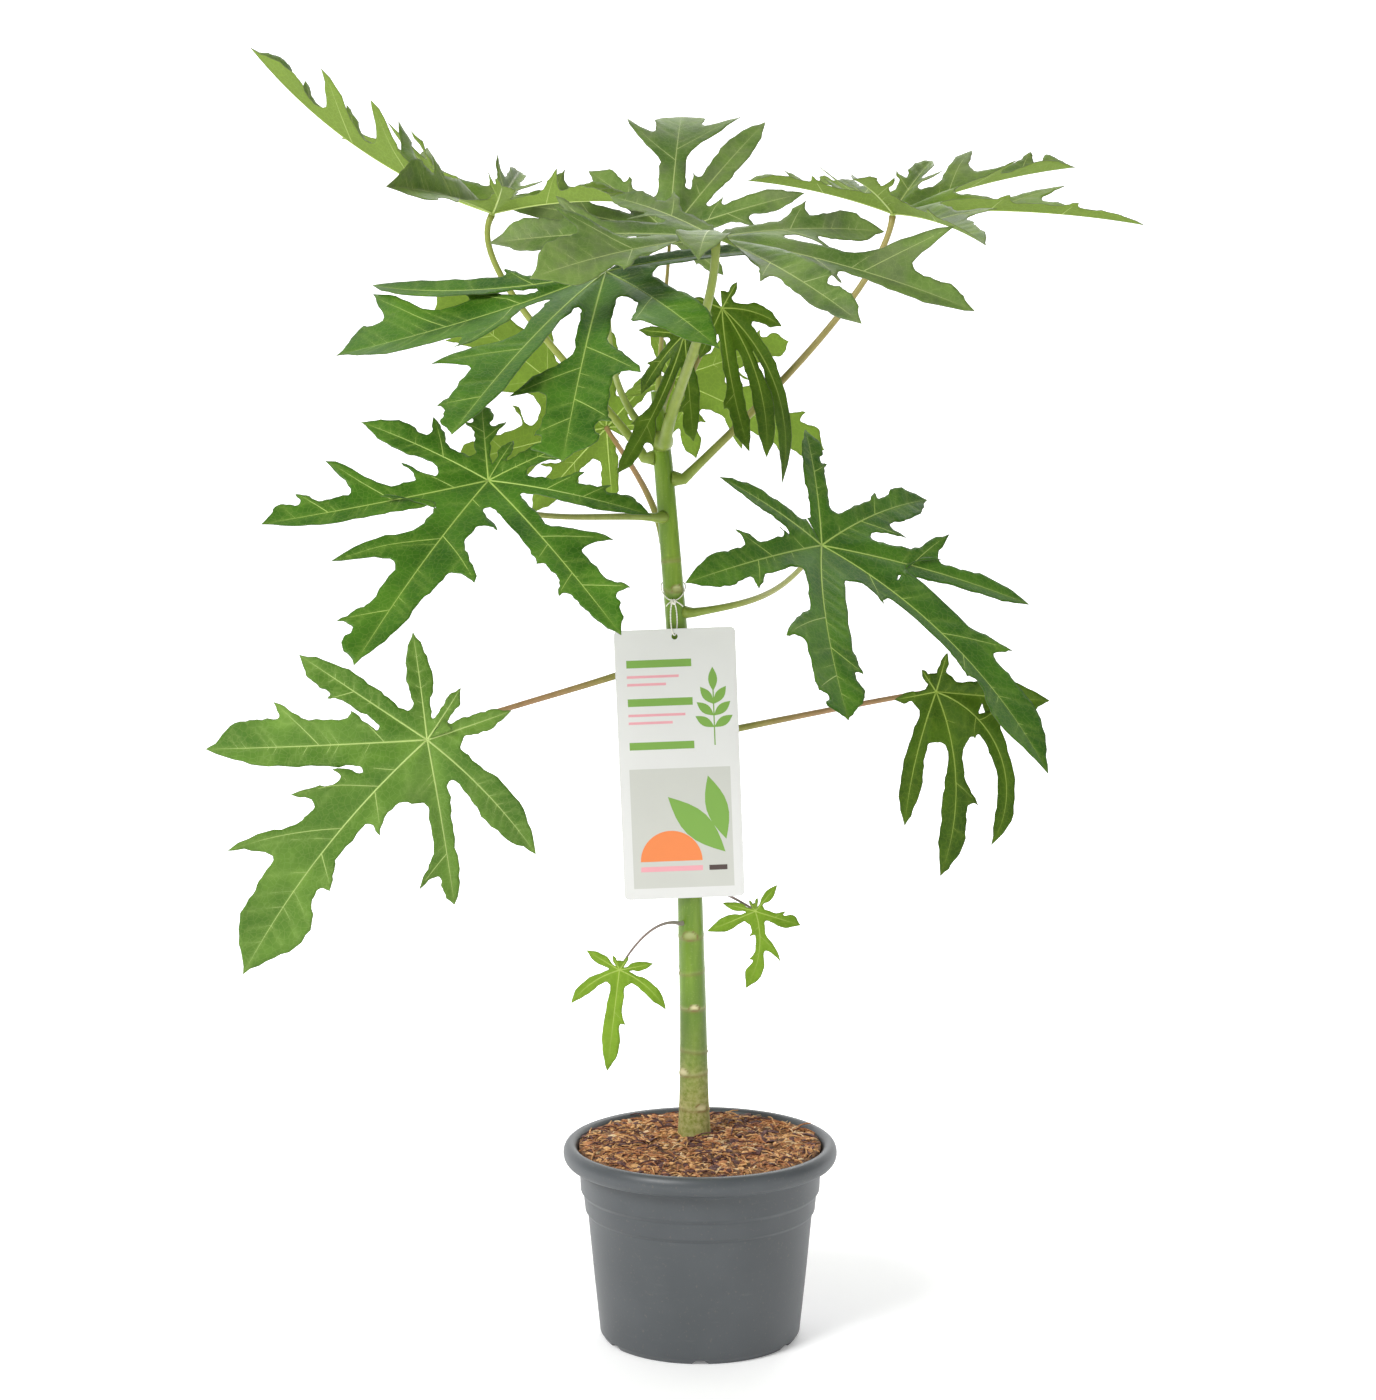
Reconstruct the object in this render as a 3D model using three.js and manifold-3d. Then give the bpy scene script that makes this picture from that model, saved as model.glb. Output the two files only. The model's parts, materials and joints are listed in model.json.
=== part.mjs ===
// A young papaya plant in a round nursery pot, with a hanging card tag.
// Millimetres, +Z up. The origin is the middle of the pot's underside.
// Seen from the front, the viewer looks along +Y with +X to the right.
import * as THREE from 'three';
import { mergeVertices } from 'three/addons/utils/BufferGeometryUtils.js';
import Module from 'manifold-3d';

const wasm = await Module();
wasm.setup();

// ---------------------------------------------------------------- driving sizes
const GAP = 0.3; // clearance between pieces that touch
const RAD = Math.PI / 180;

const pot = {
  rimRadius: 107.3, height: 156, baseRadius: 78.8, wall: 2, sides: 26,
  rollWidth: 11.5, rollHeight: 16, footHeight: 3, floor: 3,
  holes: 6, holeRadius: 6, notchWidth: 12, padRadius: 30,
};
const soil = { edge: 150, crown: 154.5, crownRadius: 30 };
const stem = {
  foot: [-4.6, 20, soil.crown + GAP], top: 742, footRadius: 11.2, topRadius: 7.3, flare: 2.2,
  flareHeight: 24, tipRadius: 4.2, tipLength: 60, lean: -29, leanBack: -8, sides: 12, rings: 14,
};
const tag = {
  width: 93.5, height: 211, thickness: 0.8, corner: 4, centre: [-16, 455], front: 2.4, tilt: 2.2,
  holeRadius: 2.4, holeInset: 6,
};
const cord = { radius: 0.6, height: 586, slack: 0.9, knot: 2 };
const bladeThickness = 1.2;

// ---------------------------------------------------------------- small helpers
const material = (color, roughness = 0.6, metalness = 0) =>
  new THREE.MeshStandardMaterial({ color, roughness, metalness });

const paints = {
  pot: material(0x565c5d, 0.45),
  soil: material(0x8a5a33, 0.95),
  stem: material(0x7d9a3c, 0.5),
  stalk: material(0x9aa257, 0.5),
  blade: material(0x3f7d2c, 0.55),
  card: material(0xf2f1ec, 0.6),
  cord: material(0xe9e6da, 0.8),
};

const vec = (x, y, z) => new THREE.Vector3(x, y, z);
const clamp = (x, low, high) => Math.min(high, Math.max(low, x));
const smooth = (low, high, x) => {
  const t = clamp((x - low) / (high - low), 0, 1);
  return t * t * (3 - 2 * t);
};

// Closed mesh from a list of points and of triangles.
function solid(points, triangles) {
  const geometry = new THREE.BufferGeometry();
  const places = points.flatMap((p) => [p.x, p.y, p.z]);
  geometry.setAttribute('position', new THREE.Float32BufferAttribute(places, 3));
  geometry.setIndex(triangles.flat());
  geometry.computeVertexNormals();
  return geometry;
}

// Round limb along a path, whose radius is a function of the share of its length.
function limb(curve, radiusAt, sides, rings) {
  const frames = curve.computeFrenetFrames(rings, false);
  const points = [];
  const triangles = [];
  for (let i = 0; i <= rings; i++) {
    const centre = curve.getPointAt(i / rings);
    for (let j = 0; j < sides; j++) {
      const a = (2 * Math.PI * j) / sides;
      points.push(centre.clone()
        .addScaledVector(frames.normals[i], radiusAt(i / rings) * Math.cos(a))
        .addScaledVector(frames.binormals[i], radiusAt(i / rings) * Math.sin(a)));
    }
  }
  for (let i = 0; i < rings; i++) {
    for (let j = 0; j < sides; j++) {
      const a = i * sides + j;
      const b = i * sides + ((j + 1) % sides);
      triangles.push([a, b, b + sides], [a, b + sides, a + sides]);
    }
  }
  const first = points.push(curve.getPointAt(0)) - 1;
  const last = points.push(curve.getPointAt(1)) - 1;
  for (let j = 0; j < sides; j++) {
    const next = (j + 1) % sides;
    triangles.push([first, next, j], [last, rings * sides + j, rings * sides + next]);
  }
  return solid(points, triangles);
}

// A geometry as a manifold, and back, for the few real cuts.
function toManifold(geometry) {
  const bare = geometry.clone();
  bare.deleteAttribute('normal');
  bare.deleteAttribute('uv');
  const merged = mergeVertices(bare, 1e-4);
  return new wasm.Manifold(new wasm.Mesh({
    numProp: 3,
    vertProperties: new Float32Array(merged.attributes.position.array),
    triVerts: new Uint32Array(merged.index.array),
  }));
}

function fromManifold(manifold) {
  const mesh = manifold.getMesh();
  const geometry = new THREE.BufferGeometry();
  geometry.setAttribute('position', new THREE.BufferAttribute(new Float32Array(mesh.vertProperties), 3));
  geometry.setIndex(new THREE.BufferAttribute(new Uint32Array(mesh.triVerts), 1));
  geometry.computeVertexNormals();
  return geometry;
}

// Profile of [radius, height] pairs turned about the pot's axis.
function turned(profile, sides = pot.sides) {
  const geometry = new THREE.LatheGeometry(profile.map(([r, z]) => new THREE.Vector2(r, z)), sides);
  return geometry.rotateX(Math.PI / 2);
}

// ---------------------------------------------------------------- pot and substrate
// Outer radius of the pot's plain wall, which widens evenly from its foot to its collar.
const wallRadius = (z) => pot.baseRadius + 0.0935 * z;

function potGeometry() {
  const rim = pot.height - pot.rollHeight;
  const roll = [];
  for (let i = 0; i <= 5; i++) {
    const a = RAD * (-60 + i * 42);
    roll.push([pot.rimRadius - pot.rollWidth / 2 + (pot.rollWidth / 2) * Math.cos(a),
      pot.height - pot.rollHeight / 2 + (pot.rollHeight / 2) * Math.sin(a)]);
  }
  const { wall, footHeight: foot, baseRadius: base } = pot;
  const profile = [
    [0, 0], [pot.padRadius, 0], [pot.padRadius, foot], [base - 10, foot], [base - 10, 0], [base - 4, 0],
    [base - 1.5, 1.2], [base, foot + 1.5],
    [wallRadius(50), 50], [wallRadius(92), 92], [wallRadius(98) + 0.6, 100], [wallRadius(104) + 1.9, 104],
    [wallRadius(114) + 2.1, 114], [93.8, 119], [94.6, rim - 4], [95.4, rim],
    ...roll,
    [94.2, rim + 3], [92.4, rim - 4], [91.6, 119], [wallRadius(104) - wall, 104],
    [wallRadius(50) - wall, 50], [base - wall - 1, foot + pot.floor], [0, foot + pot.floor],
  ];
  let body = toManifold(turned(profile));
  for (let i = 0; i < pot.holes; i++) {
    const a = (2 * Math.PI * (i + 0.5)) / pot.holes;
    const at = base - 18;
    const hole = new THREE.CylinderGeometry(pot.holeRadius, pot.holeRadius, 3 * pot.floor, 8)
      .rotateX(Math.PI / 2).translate(at * Math.cos(a), at * Math.sin(a), foot + pot.floor / 2);
    const notch = new THREE.BoxGeometry(30, pot.notchWidth, 2 * (foot - 0.4)).translate(base - 6, 0, 0)
      .rotateZ(a);
    body = body.subtract(toManifold(hole)).subtract(toManifold(notch));
  }
  return fromManifold(body);
}

function substrateGeometry() {
  const inner = (z) => wallRadius(z) - pot.wall - GAP;
  return turned([
    [0, pot.footHeight + pot.floor + GAP], [pot.baseRadius - pot.wall - 3, pot.footHeight + pot.floor + GAP],
    [inner(50), 50], [inner(104), 104], [91.2, 119], [91.9, 134], [93.2, soil.edge],
    [70, soil.edge + 2.5], [soil.crownRadius, soil.crown], [0, soil.crown],
  ]);
}

// ---------------------------------------------------------------- stem
const stemHeight = stem.top - stem.foot[2];

// Middle of the stem at a height: nearly upright at the foot, bowing to the left above.
function stemAt(z) {
  const h = clamp((z - stem.foot[2]) / stemHeight, 0, 1);
  return vec(stem.foot[0] + stem.lean * h ** 2, stem.foot[1] + stem.leanBack * h, z);
}

function stemRadius(z) {
  const h = z - stem.foot[2];
  const share = clamp(h / (stemHeight - stem.tipLength), 0, 1);
  const taper = THREE.MathUtils.lerp(stem.footRadius, stem.topRadius, share);
  const flare = stem.flare * Math.exp(-h / stem.flareHeight);
  const tip = smooth(stemHeight - stem.tipLength, stemHeight, h);
  return THREE.MathUtils.lerp(taper + flare, stem.tipRadius, tip);
}

function stemGeometry() {
  const stations = [];
  for (let i = 0; i <= 12; i++) stations.push(stemAt(stem.foot[2] + (stemHeight * i) / 12));
  const curve = new THREE.CatmullRomCurve3(stations);
  const geometry = limb(curve, (u) => stemRadius(stem.foot[2] + u * stemHeight), stem.sides, stem.rings);
  const positions = geometry.attributes.position; // the foot is one flat level cut
  for (let i = 0; i < positions.count; i++) {
    if (positions.getZ(i) < stem.foot[2] + 2) positions.setZ(i, stem.foot[2]);
  }
  return geometry;
}

// ---------------------------------------------------------------- leaf blades
// A papaya blade is a hand of lobes about the top of its stalk. Each lobe is cut again into
// side points. A lobe is [angle from the middle lobe, length share, lift, { more }], with
// angles positive to the left as seen from above. Its side points are [along, across, neck past it]
// as shares of its own length. waist is the half width below its first side point and end the half
// width near its tip, each one value or [left, right]. web is how far out the notch on its left lies.
const cutsFor = (share) => {
  if (share > 0.68) return [[0.56, 0.23], [0.8, 0.15]];
  if (share > 0.45) return [[0.62, 0.22]];
  if (share > 0.36) return [[0.66, 0.16]];
  return [];
};

const leaves = [
  { name: '01', hub: [-62, -40, 302], face: [-90, 84, 0], size: 82, stem: 328, rise: 20, sag: 0.5,
    web: 0.22, thin: 0.4,
    lobes: [[-7, 0.97, -4, { left: [[0.52, 0.12, 0.06]], right: [], waist: 0.07, end: 0.09 }],
      [-54, 0.57, -6, { turn: 40, left: [], right: [], end: 0.1 }],
      [49, 0.58, 4, { turn: -40, left: [], right: [], end: 0.1 }], [-121, 0.36, 0, { end: 0.14 }],
      [101, 0.32, 0, { end: 0.14 }], [-155, 0.15, 0], [146, 0.15, 0]] },
  { name: '02', hub: [43, 8, 338], face: [-90, 84, 0], size: 70, stem: 356, rise: -10, sag: 0.3, web: 0.22,
    thin: 0.4,
    lobes: [[-8, 0.92, -8, { turn: -50, left: [[0.56, 0.27, 0.06]],
        right: [[0.3, 0.12, 0.05], [0.62, 0.1, 0.05]] }],
      [72, 0.54, -8, { left: [[0.6, 0.19, 0.1]], right: [], end: 0.15 }],
      [-66, 0.6, -12, { left: [], right: [], waist: 0.09, end: 0.13 }],
      [-103, 0.38, -10, { left: [], right: [], end: 0.12 }],
      [140, 0.38, -8, { left: [], right: [], waist: 0.05, end: 0.13 }], [-150, 0.14, 0], [172, 0.15, 0]] },
  { name: '03', hub: [183, 20, 509], face: [-97, 86, 0], size: 158, stem: 475, rise: 12, sag: 0.3, web: 0.32,
    lobes: [[1, 0.94, -2, { turn: -44, left: [[0.6, 0.12, 0.06]], right: [], waist: [0.05, 0.03], end: 0.07 }],
      [-12, 0.68, 4, { turn: 14, left: [], right: [], waist: 0.06, end: 0.08 }],
      [19, 0.92, 6, { turn: -104, left: [[0.38, 0.11, 0.05]], right: [[0.34, 0.09, 0.05]], end: 0.045 }],
      [86, 0.56, -6, { left: [], right: [[0.5, 0.14]], waist: 0.2, end: 0.16 }], [-78, 0.21, 0],
      [-146, 0.13, 0], [165, 0.2, 0]] },
  { name: '04', hub: [-206, -60, 484], face: [-75, 90, -38], size: 222, stem: 534, from: 178, rise: -22,
    sag: 0.25, web: 0.27,
    lobes: [[1, 1.04, -8, { turn: 24, left: [[0.34, 0.11, 0.05], [0.6, 0.1, 0.06]],
        right: [[0.28, 0.15, 0.11], [0.41, 0.21, 0.12], [0.65, 0.27, 0.12]], end: 0.115 }],
      [-50, 0.75, -12, { left: [], right: [[0.34, 0.16, 0.12], [0.68, 0.21, 0.13]], end: [0.09, 0.13] }],
      [50, 0.68, -20, { left: [], right: [[0.82, 0.17, 0.05]], waist: 0.06, end: 0.05 }],
      [80, 0.59, -8, { turn: -16, left: [], right: [], waist: 0.09, end: 0.11 }],
      [-87, 0.52, -12, { left: [[0.69, 0.13, 0.09]], right: [], end: 0.1 }],
      [-137, 0.37, -12, { left: [], right: [], waist: 0.1, end: 0.12 }],
      [144, 0.31, -4, { left: [], right: [], end: 0.11 }], [-176, 0.21, 0]] },
  { name: '05', hub: [86, -170, 642], face: [-44, 48, 14], size: 248, stem: 572, from: -15, rise: 10,
    sag: 0.3, web: 0.29,
    lobes: [[0, 0.95, 4, { turn: -38, left: [[0.3, 0.26, 0.11], [0.61, 0.17, 0.09]],
        right: [[0.27, 0.11, 0.05], [0.62, 0.08, 0.05]], end: 0.1 }],
      [-46, 0.74, 4, { turn: 28, web: 0.2, left: [[0.76, 0.12, 0.08]],
        right: [[0.7, 0.23, 0.13], [0.91, 0.13, 0.08]] }],
      [-98, 0.6, -2, { left: [[0.64, 0.15, 0.08]],
        right: [[0.26, 0.13, 0.08], [0.55, 0.17, 0.08]], end: 0.09 }],
      [-141, 0.39, 8, { left: [], right: [], end: 0.1 }],
      [48, 0.71, 5, { left: [[0.61, 0.22, 0.05]], right: [], waist: 0.09, end: 0.06 }],
      [87, 0.55, 2, { turn: -14, left: [[0.6, 0.11, 0.07]], right: [[0.55, 0.2, 0.09]], end: 0.1 }],
      [140, 0.44, 4, { left: [], right: [[0.7, 0.1, 0.06]], waist: 0.08, end: 0.1 }]] },
  { name: '06', hub: [-75, 150, 705], face: [100, 75, 130], size: 185, stem: 625, rise: 60, sag: 0.3,
    lobes: [[0, 1, -4], [-46, 0.74, -20], [46, 0.5, -8], [-88, 0.5, -8], [88, 0.34, -8], [-136, 0.36, -4],
      [136, 0.25, -4]] },
  { name: '07', hub: [-152, -165, 688], face: [-94, 37, -23], size: 219, stem: 646, rise: 8, sag: 0.3,
    web: 0.27,
    lobes: [[3, 0.96, 2, { web: 0.18, left: [[0.28, 0.17, 0.09], [0.55, 0.22, 0.11]],
        right: [[0.28, 0.27, 0.08], [0.62, 0.28, 0.07], [0.86, 0.13, 0.07]], end: 0.08 }],
      [-48, 0.76, 2, { turn: -20, left: [],
        right: [[0.34, 0.2, 0.08], [0.68, 0.27, 0.07], [0.84, 0.14, 0.07]], end: 0.09 }],
      [-94, 0.5, 6, { left: [], right: [[0.6, 0.27, 0.1]], end: 0.12 }],
      [-148, 0.37, 2, { left: [[0.74, 0.15, 0.09]], right: [[0.7, 0.21, 0.07]], waist: 0.09 }],
      [-176, 0.2, 2],
      [56, 0.9, 2, { web: 0.21, left: [[0.6, 0.2, 0.08], [0.84, 0.13, 0.07]],
        right: [[0.55, 0.09, 0.06], [0.74, 0.1, 0.06]], end: 0.05 }],
      [92, 0.59, 4, { left: [[0.52, 0.17, 0.09], [0.7, 0.12, 0.07]], right: [], waist: 0.07, end: 0.08 }],
      [142, 0.39, 5, { left: [], right: [[0.62, 0.16, 0.09]] }]] },
  { name: '08', hub: [145, 0, 876], face: [0, 6, -22], size: 205, stem: 675, rise: 45, sag: 0.2, fold: 30,
    web: 0.28, thin: 1.2,
    lobes: [[0, 0.95, 3, { left: [[0.62, 0.24, 0.09]],
        right: [[0.5, 0.12, 0.06], [0.76, 0.09, 0.05]], end: 0.05 }],
      [45, 0.78, 18, { left: [[0.6, 0.32, 0.1], [0.84, 0.16, 0.07]], right: [[0.6, 0.2, 0.07]], end: 0.12 }],
      [-45, 0.76, -6, { left: [[0.66, 0.24, 0.09]], right: [[0.6, 0.14, 0.06]], end: 0.07 }],
      [90, 0.45, 28, { left: [[0.55, 0.18, 0.07]], right: [[0.6, 0.26, 0.08]] }],
      [-90, 0.5, 12, { left: [[0.6, 0.2, 0.07]], right: [[0.6, 0.2, 0.07]] }],
      [138, 0.6, 8, { left: [[0.4, 0.2, 0.08], [0.7, 0.2, 0.07]], right: [[0.6, 0.2, 0.08]] }],
      [-140, 0.58, 6, { left: [[0.64, 0.16, 0.08]], right: [[0.44, 0.2, 0.08], [0.72, 0.18, 0.07]] }]] },
  { name: '09', hub: [-159, 40, 876], face: [0, 31, 180], size: 232, stem: 691, rise: 60, sag: 0.2,
    fold: 35, web: 0.26, thin: 1.2,
    lobes: [[0, 0.97, 4, { bend: 34, left: [[0.36, 0.3, 0.07], [0.55, 0.27, 0.06], [0.76, 0.25, 0.045]],
        right: [[0.46, 0.26, 0.06], [0.64, 0.15, 0.05], [0.8, 0.1, 0.04]], end: 0.1 }],
      [60, 0.62, -8, { twist: -40, left: [[0.66, 0.2, 0.12]], right: [[0.6, 0.2, 0.1]], end: 0.15 }],
      [-38, 0.76, -5, { left: [[0.62, 0.22, 0.07]], right: [[0.66, 0.2, 0.07]], end: 0.07 }],
      [90, 0.42, 14, { left: [], right: [[0.6, 0.2, 0.08]] }],
      [-88, 0.45, 20, { left: [[0.6, 0.24, 0.07]], right: [[0.6, 0.24, 0.07]], end: 0.08 }],
      [135, 0.56, 27, { left: [[0.4, 0.2, 0.08], [0.7, 0.2, 0.07]], right: [[0.6, 0.2, 0.08]] }],
      [-138, 0.56, 30, { left: [[0.6, 0.2, 0.08]], right: [[0.42, 0.2, 0.08], [0.7, 0.2, 0.07]] }]] },
  { name: '10', hub: [10, -175, 860], face: [-98, 10, 0], size: 190, stem: 704, from: -80, rise: 50,
    sag: 0.2, fold: 12, web: 0.3, thin: 1.6,
    lobes: [[0, 0.5, 0, { bend: -56, left: [], right: [], waist: 0.2, end: 0.2 }],
      [43, 0.9, -12, { twist: 40, left: [[0.7, 0.1, 0.05]], right: [[0.5, 0.13, 0.06]], end: 0.07 }],
      [-50, 0.8, -4, { twist: -50, left: [[0.6, 0.16, 0.1]], right: [[0.72, 0.3, 0.14]], end: 0.14 }],
      [90, 1.0, -16, { twist: 50, left: [[0.82, 0.28, 0.06]], right: [[0.5, 0.14, 0.05]], end: 0.06 }],
      [-86, 0.85, -1, { twist: -50, left: [[0.56, 0.2, 0.09]], right: [[0.7, 0.2, 0.08]] }],
      [128, 0.75, -5, { twist: 55, left: [[0.6, 0.18, 0.08]], right: [[0.58, 0.22, 0.09]] }],
      [-130, 0.6, 8, { twist: -30, left: [[0.6, 0.2, 0.08]], right: [[0.6, 0.2, 0.08]] }]] },
  { name: '11', hub: [-68, -150, 836], face: [-101, 21, -25], size: 250, stem: 712, from: 190, rise: 50,
    sag: 0.25, web: 0.27,
    lobes: [[12, 1.0, -4, { left: [],
        right: [[0.73, 0.19, 0.08], [0.9, 0.09, 0.06]], waist: 0.07, end: 0.05 }],
      [28, 0.9, -12, { left: [[0.64, 0.2, 0.11], [0.84, 0.13, 0.08]],
        right: [[0.74, 0.19, 0.08], [0.9, 0.1, 0.07]], waist: 0.11 }],
      [-40, 0.84, -8, { turn: -56, left: [[0.6, 0.25, 0.15]],
        right: [[0.5, 0.17, 0.12], [0.94, 0.36, 0.14]] }],
      [68, 0.59, -5, { left: [], right: [[0.66, 0.26, 0.2]], waist: 0.12, end: 0.14 }],
      [126, 0.58, 2, { left: [], right: [], waist: 0.08, end: 0.08 }],
      [-68, 0.78, -4, { turn: -90, left: [], right: [[0.4, 0.13, 0.08]], waist: 0.07, end: 0.08 }]] },
  { name: '12', hub: [-22, 130, 745], face: [90, 75, -65], size: 135, stem: 718, rise: 60, sag: 0.2,
    lobes: [[0, 1, -4], [-46, 0.74, -8], [46, 0.5, -30], [-88, 0.55, -8], [88, 0.4, -30], [-136, 0.36, -4],
      [136, 0.3, -4]] },
  { name: '13', hub: [16, -25, 806], face: [-90, 82, 0], size: 142, stem: 722, from: 25, rise: 60,
    sag: 0.35, web: 0.3, thin: 0.7,
    lobes: [[11, 0.78, 4, { turn: 14, left: [], right: [[0.68, 0.09, 0.06]], waist: 0.075, end: 0.06 }],
      [16, 0.84, -6, { turn: -40, left: [], right: [], waist: 0.06, end: 0.06 }],
      [18, 1.04, -12, { turn: -62, twist: 70, left: [], right: [], waist: 0.05, end: 0.05 }],
      [73, 0.34, -8, { turn: -40, left: [], right: [], waist: 0.14, end: 0.13 }], [-24, 0.3, 8],
      [-110, 0.16, 0], [150, 0.16, 0]] },
  { name: '14', hub: [-12, -8, 786], face: [-92, 84, 0], size: 118, stem: 734, from: -60, rise: 75,
    sag: 0.25, web: 0.26, thin: 0.7,
    lobes: [[-26, 1.0, 2, { turn: -20, left: [[0.73, 0.1, 0.05]],
        right: [[0.68, 0.1, 0.06]], waist: 0.06, end: 0.05 }],
      [-36, 0.48, -6, { turn: 20, left: [], right: [[0.6, 0.13, 0.08]], end: 0.09 }],
      [5, 0.69, 2, { left: [], right: [[0.72, 0.11, 0.07]], waist: 0.07, end: 0.09 }], [-95, 0.3, 0],
      [52, 0.14, 0]] },
  { name: '15', hub: [-24, 115, 860], face: [-90, 52, 180], size: 150, stem: 738, rise: 80, sag: 0.2,
    web: 0.3, thin: 0.7,
    lobes: [[-4, 0.95, -10, { bend: -60, left: [[0.75, 0.3, 0.13]], right: [[0.88, 0.34, 0.13]], end: 0.14 }],
      [43, 0.64, -6, { left: [], right: [[0.66, 0.16, 0.1]], end: 0.12 }],
      [-32, 0.98, -6, { left: [[0.4, 0.1, 0.06]], right: [], waist: 0.07, end: 0.08 }],
      [85, 0.95, 10, { left: [[0.5, 0.18, 0.08]], right: [[0.6, 0.16, 0.07]], end: 0.08 }],
      [-77, 0.74, 10, { left: [[0.44, 0.16, 0.08]], right: [[0.6, 0.18, 0.08]], end: 0.1 }], [-135, 0.4, 2],
      [135, 0.4, 2]] },
];

// Unit vectors of a blade: along its middle lobe, to that lobe's left, and out of its upper side.
// face is [compass way the blade slopes down to, slope, turn of the middle lobe from that way].
function bladeAxes([compass, slope, spin]) {
  const a = compass * RAD;
  const s = slope * RAD;
  const down = vec(Math.cos(s) * Math.cos(a), Math.cos(s) * Math.sin(a), -Math.sin(s));
  const out = vec(Math.sin(s) * Math.cos(a), Math.sin(s) * Math.sin(a), Math.cos(s));
  const forward = down.clone().applyAxisAngle(out, spin * RAD);
  return { forward, left: out.clone().cross(forward), out };
}

// Spine of a lobe: stations from the hub to its tip, each with its own set of axes.
function lobeSpine(leaf, lobe) {
  const stations = [];
  const steps = 20;
  const axes = bladeAxes(leaf.face);
  let place = vec(...leaf.hub);
  for (let k = 0; k <= steps; k++) {
    const u = k / steps;
    const turn = (lobe.angle + lobe.turn * (u - 0.5)) * RAD;
    const lift = (lobe.lift + lobe.bend * (u - 0.5)) * RAD;
    const flat = axes.forward.clone().multiplyScalar(Math.cos(turn)).addScaledVector(axes.left, Math.sin(turn));
    const forward = flat.clone().multiplyScalar(Math.cos(lift)).addScaledVector(axes.out, Math.sin(lift));
    const left = axes.out.clone().cross(flat).applyAxisAngle(forward, lobe.twist * u * RAD);
    stations.push({ place, forward, left, out: forward.clone().cross(left) });
    place = place.clone().addScaledVector(forward, lobe.length / steps);
  }
  return stations;
}

// Where a flat point of a lobe, along and across its spine, goes in space.
function bent(lobe, along, across) {
  const steps = lobe.spine.length - 1;
  const k = clamp((along / lobe.length) * steps, 0, steps);
  const low = lobe.spine[Math.min(Math.floor(k), steps - 1)];
  const high = lobe.spine[Math.min(Math.floor(k) + 1, steps)];
  const part = k - Math.min(Math.floor(k), steps - 1);
  const mix = (key) => low[key].clone().lerp(high[key], part);
  return mix('place')
    .addScaledVector(mix('forward').normalize(), along - (k / steps) * lobe.length)
    .addScaledVector(mix('left').normalize(), across * Math.cos(lobe.fold))
    .addScaledVector(mix('out').normalize(), Math.abs(across) * Math.sin(lobe.fold));
}

const bothSides = (value) => (Array.isArray(value) ? value : [value, value]);

// Lobes of a leaf in order round the hub, from the last on the right to the last on the left,
// with the notches between them. A lobe that turns along its length leaves the hub at its root angle.
function lobesOf(leaf) {
  const lobes = leaf.lobes.map(([angle, share, lift, more = {}]) => {
    const lobe = { angle, lift, length: share * leaf.size, bend: leaf.bend ?? -14, turn: 0, twist: 0, ...more };
    const waist = bothSides(more.waist ?? 0.1);
    const end = bothSides(more.end);
    lobe.root = angle - lobe.turn / 2;
    lobe.fold = (leaf.fold ?? 8) * RAD;
    lobe.left = { cuts: more.left ?? cutsFor(share), waist: waist[0], end: end[0] };
    lobe.right = { cuts: more.right ?? cutsFor(share), waist: waist[1], end: end[1] };
    lobe.spine = lobeSpine(leaf, lobe);
    return lobe;
  }).sort((a, b) => a.root - b.root);
  const rear = (360 - lobes.at(-1).root + lobes[0].root) / 2 - 3;
  lobes.forEach((lobe, i) => {
    for (const [side, other] of [[lobe.left, lobes[i + 1]], [lobe.right, lobes[i - 1]]]) {
      const web = (side === lobe.left ? lobe.web : other?.web) ?? leaf.web ?? 0.36;
      side.notch = other ? web * Math.sqrt(lobe.length * other.length) : 0.09 * leaf.size;
      side.half = (other ? Math.abs(other.root - lobe.root) / 2 : Math.min(35, rear)) * RAD;
    }
  });
  return lobes;
}

// Point of a lobe in space, eased over towards its neighbour's bend where the two share a web.
function webbed(lobes, index, side, along, across) {
  const own = bent(lobes[index], along, across);
  const other = lobes[index + side];
  if (!other) return own;
  const { notch, half } = side > 0 ? lobes[index].left : lobes[index].right;
  const reach = Math.hypot(along, across);
  const nearness = clamp(Math.atan2(Math.abs(across), along) / half, 0, 1);
  const share = 0.5 * nearness ** 2 * (1 - smooth(notch, 1.9 * notch, reach));
  const there = Math.atan2(across, along) - side * 2 * half;
  return own.lerp(bent(other, reach * Math.cos(there), reach * Math.sin(there)), share);
}

// Flat outline of one side of a lobe, from the notch beside it to its tip.
function lobeSide(lobe, side) {
  const { cuts, waist, end, notch, half } = side > 0 ? lobe.left : lobe.right;
  const here = [(notch / lobe.length) * Math.cos(half), (notch / lobe.length) * Math.sin(half)];
  const points = [here];
  if (!cuts.length || cuts[0][0] - here[0] > 0.16) {
    points.push([here[0] + 0.3 * here[1] + 0.04, Math.min(waist, here[1] * 0.85)]);
  }
  cuts.forEach(([s, t, neck], k) => {
    const narrow = neck ?? Math.min(waist * (1 - 0.12 * k), t * 0.72);
    points.push([s, t, true], [s + 0.035 - 0.4 * (t - narrow), narrow]);
  });
  const [last, width] = points.at(-1);
  points.push([last + 0.4 * (1 - last), end ?? Math.max(0.1, width * 1.12)]);
  return points.map(([s, t, tip]) => [s * lobe.length, side * t * lobe.length, tip]);
}

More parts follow.
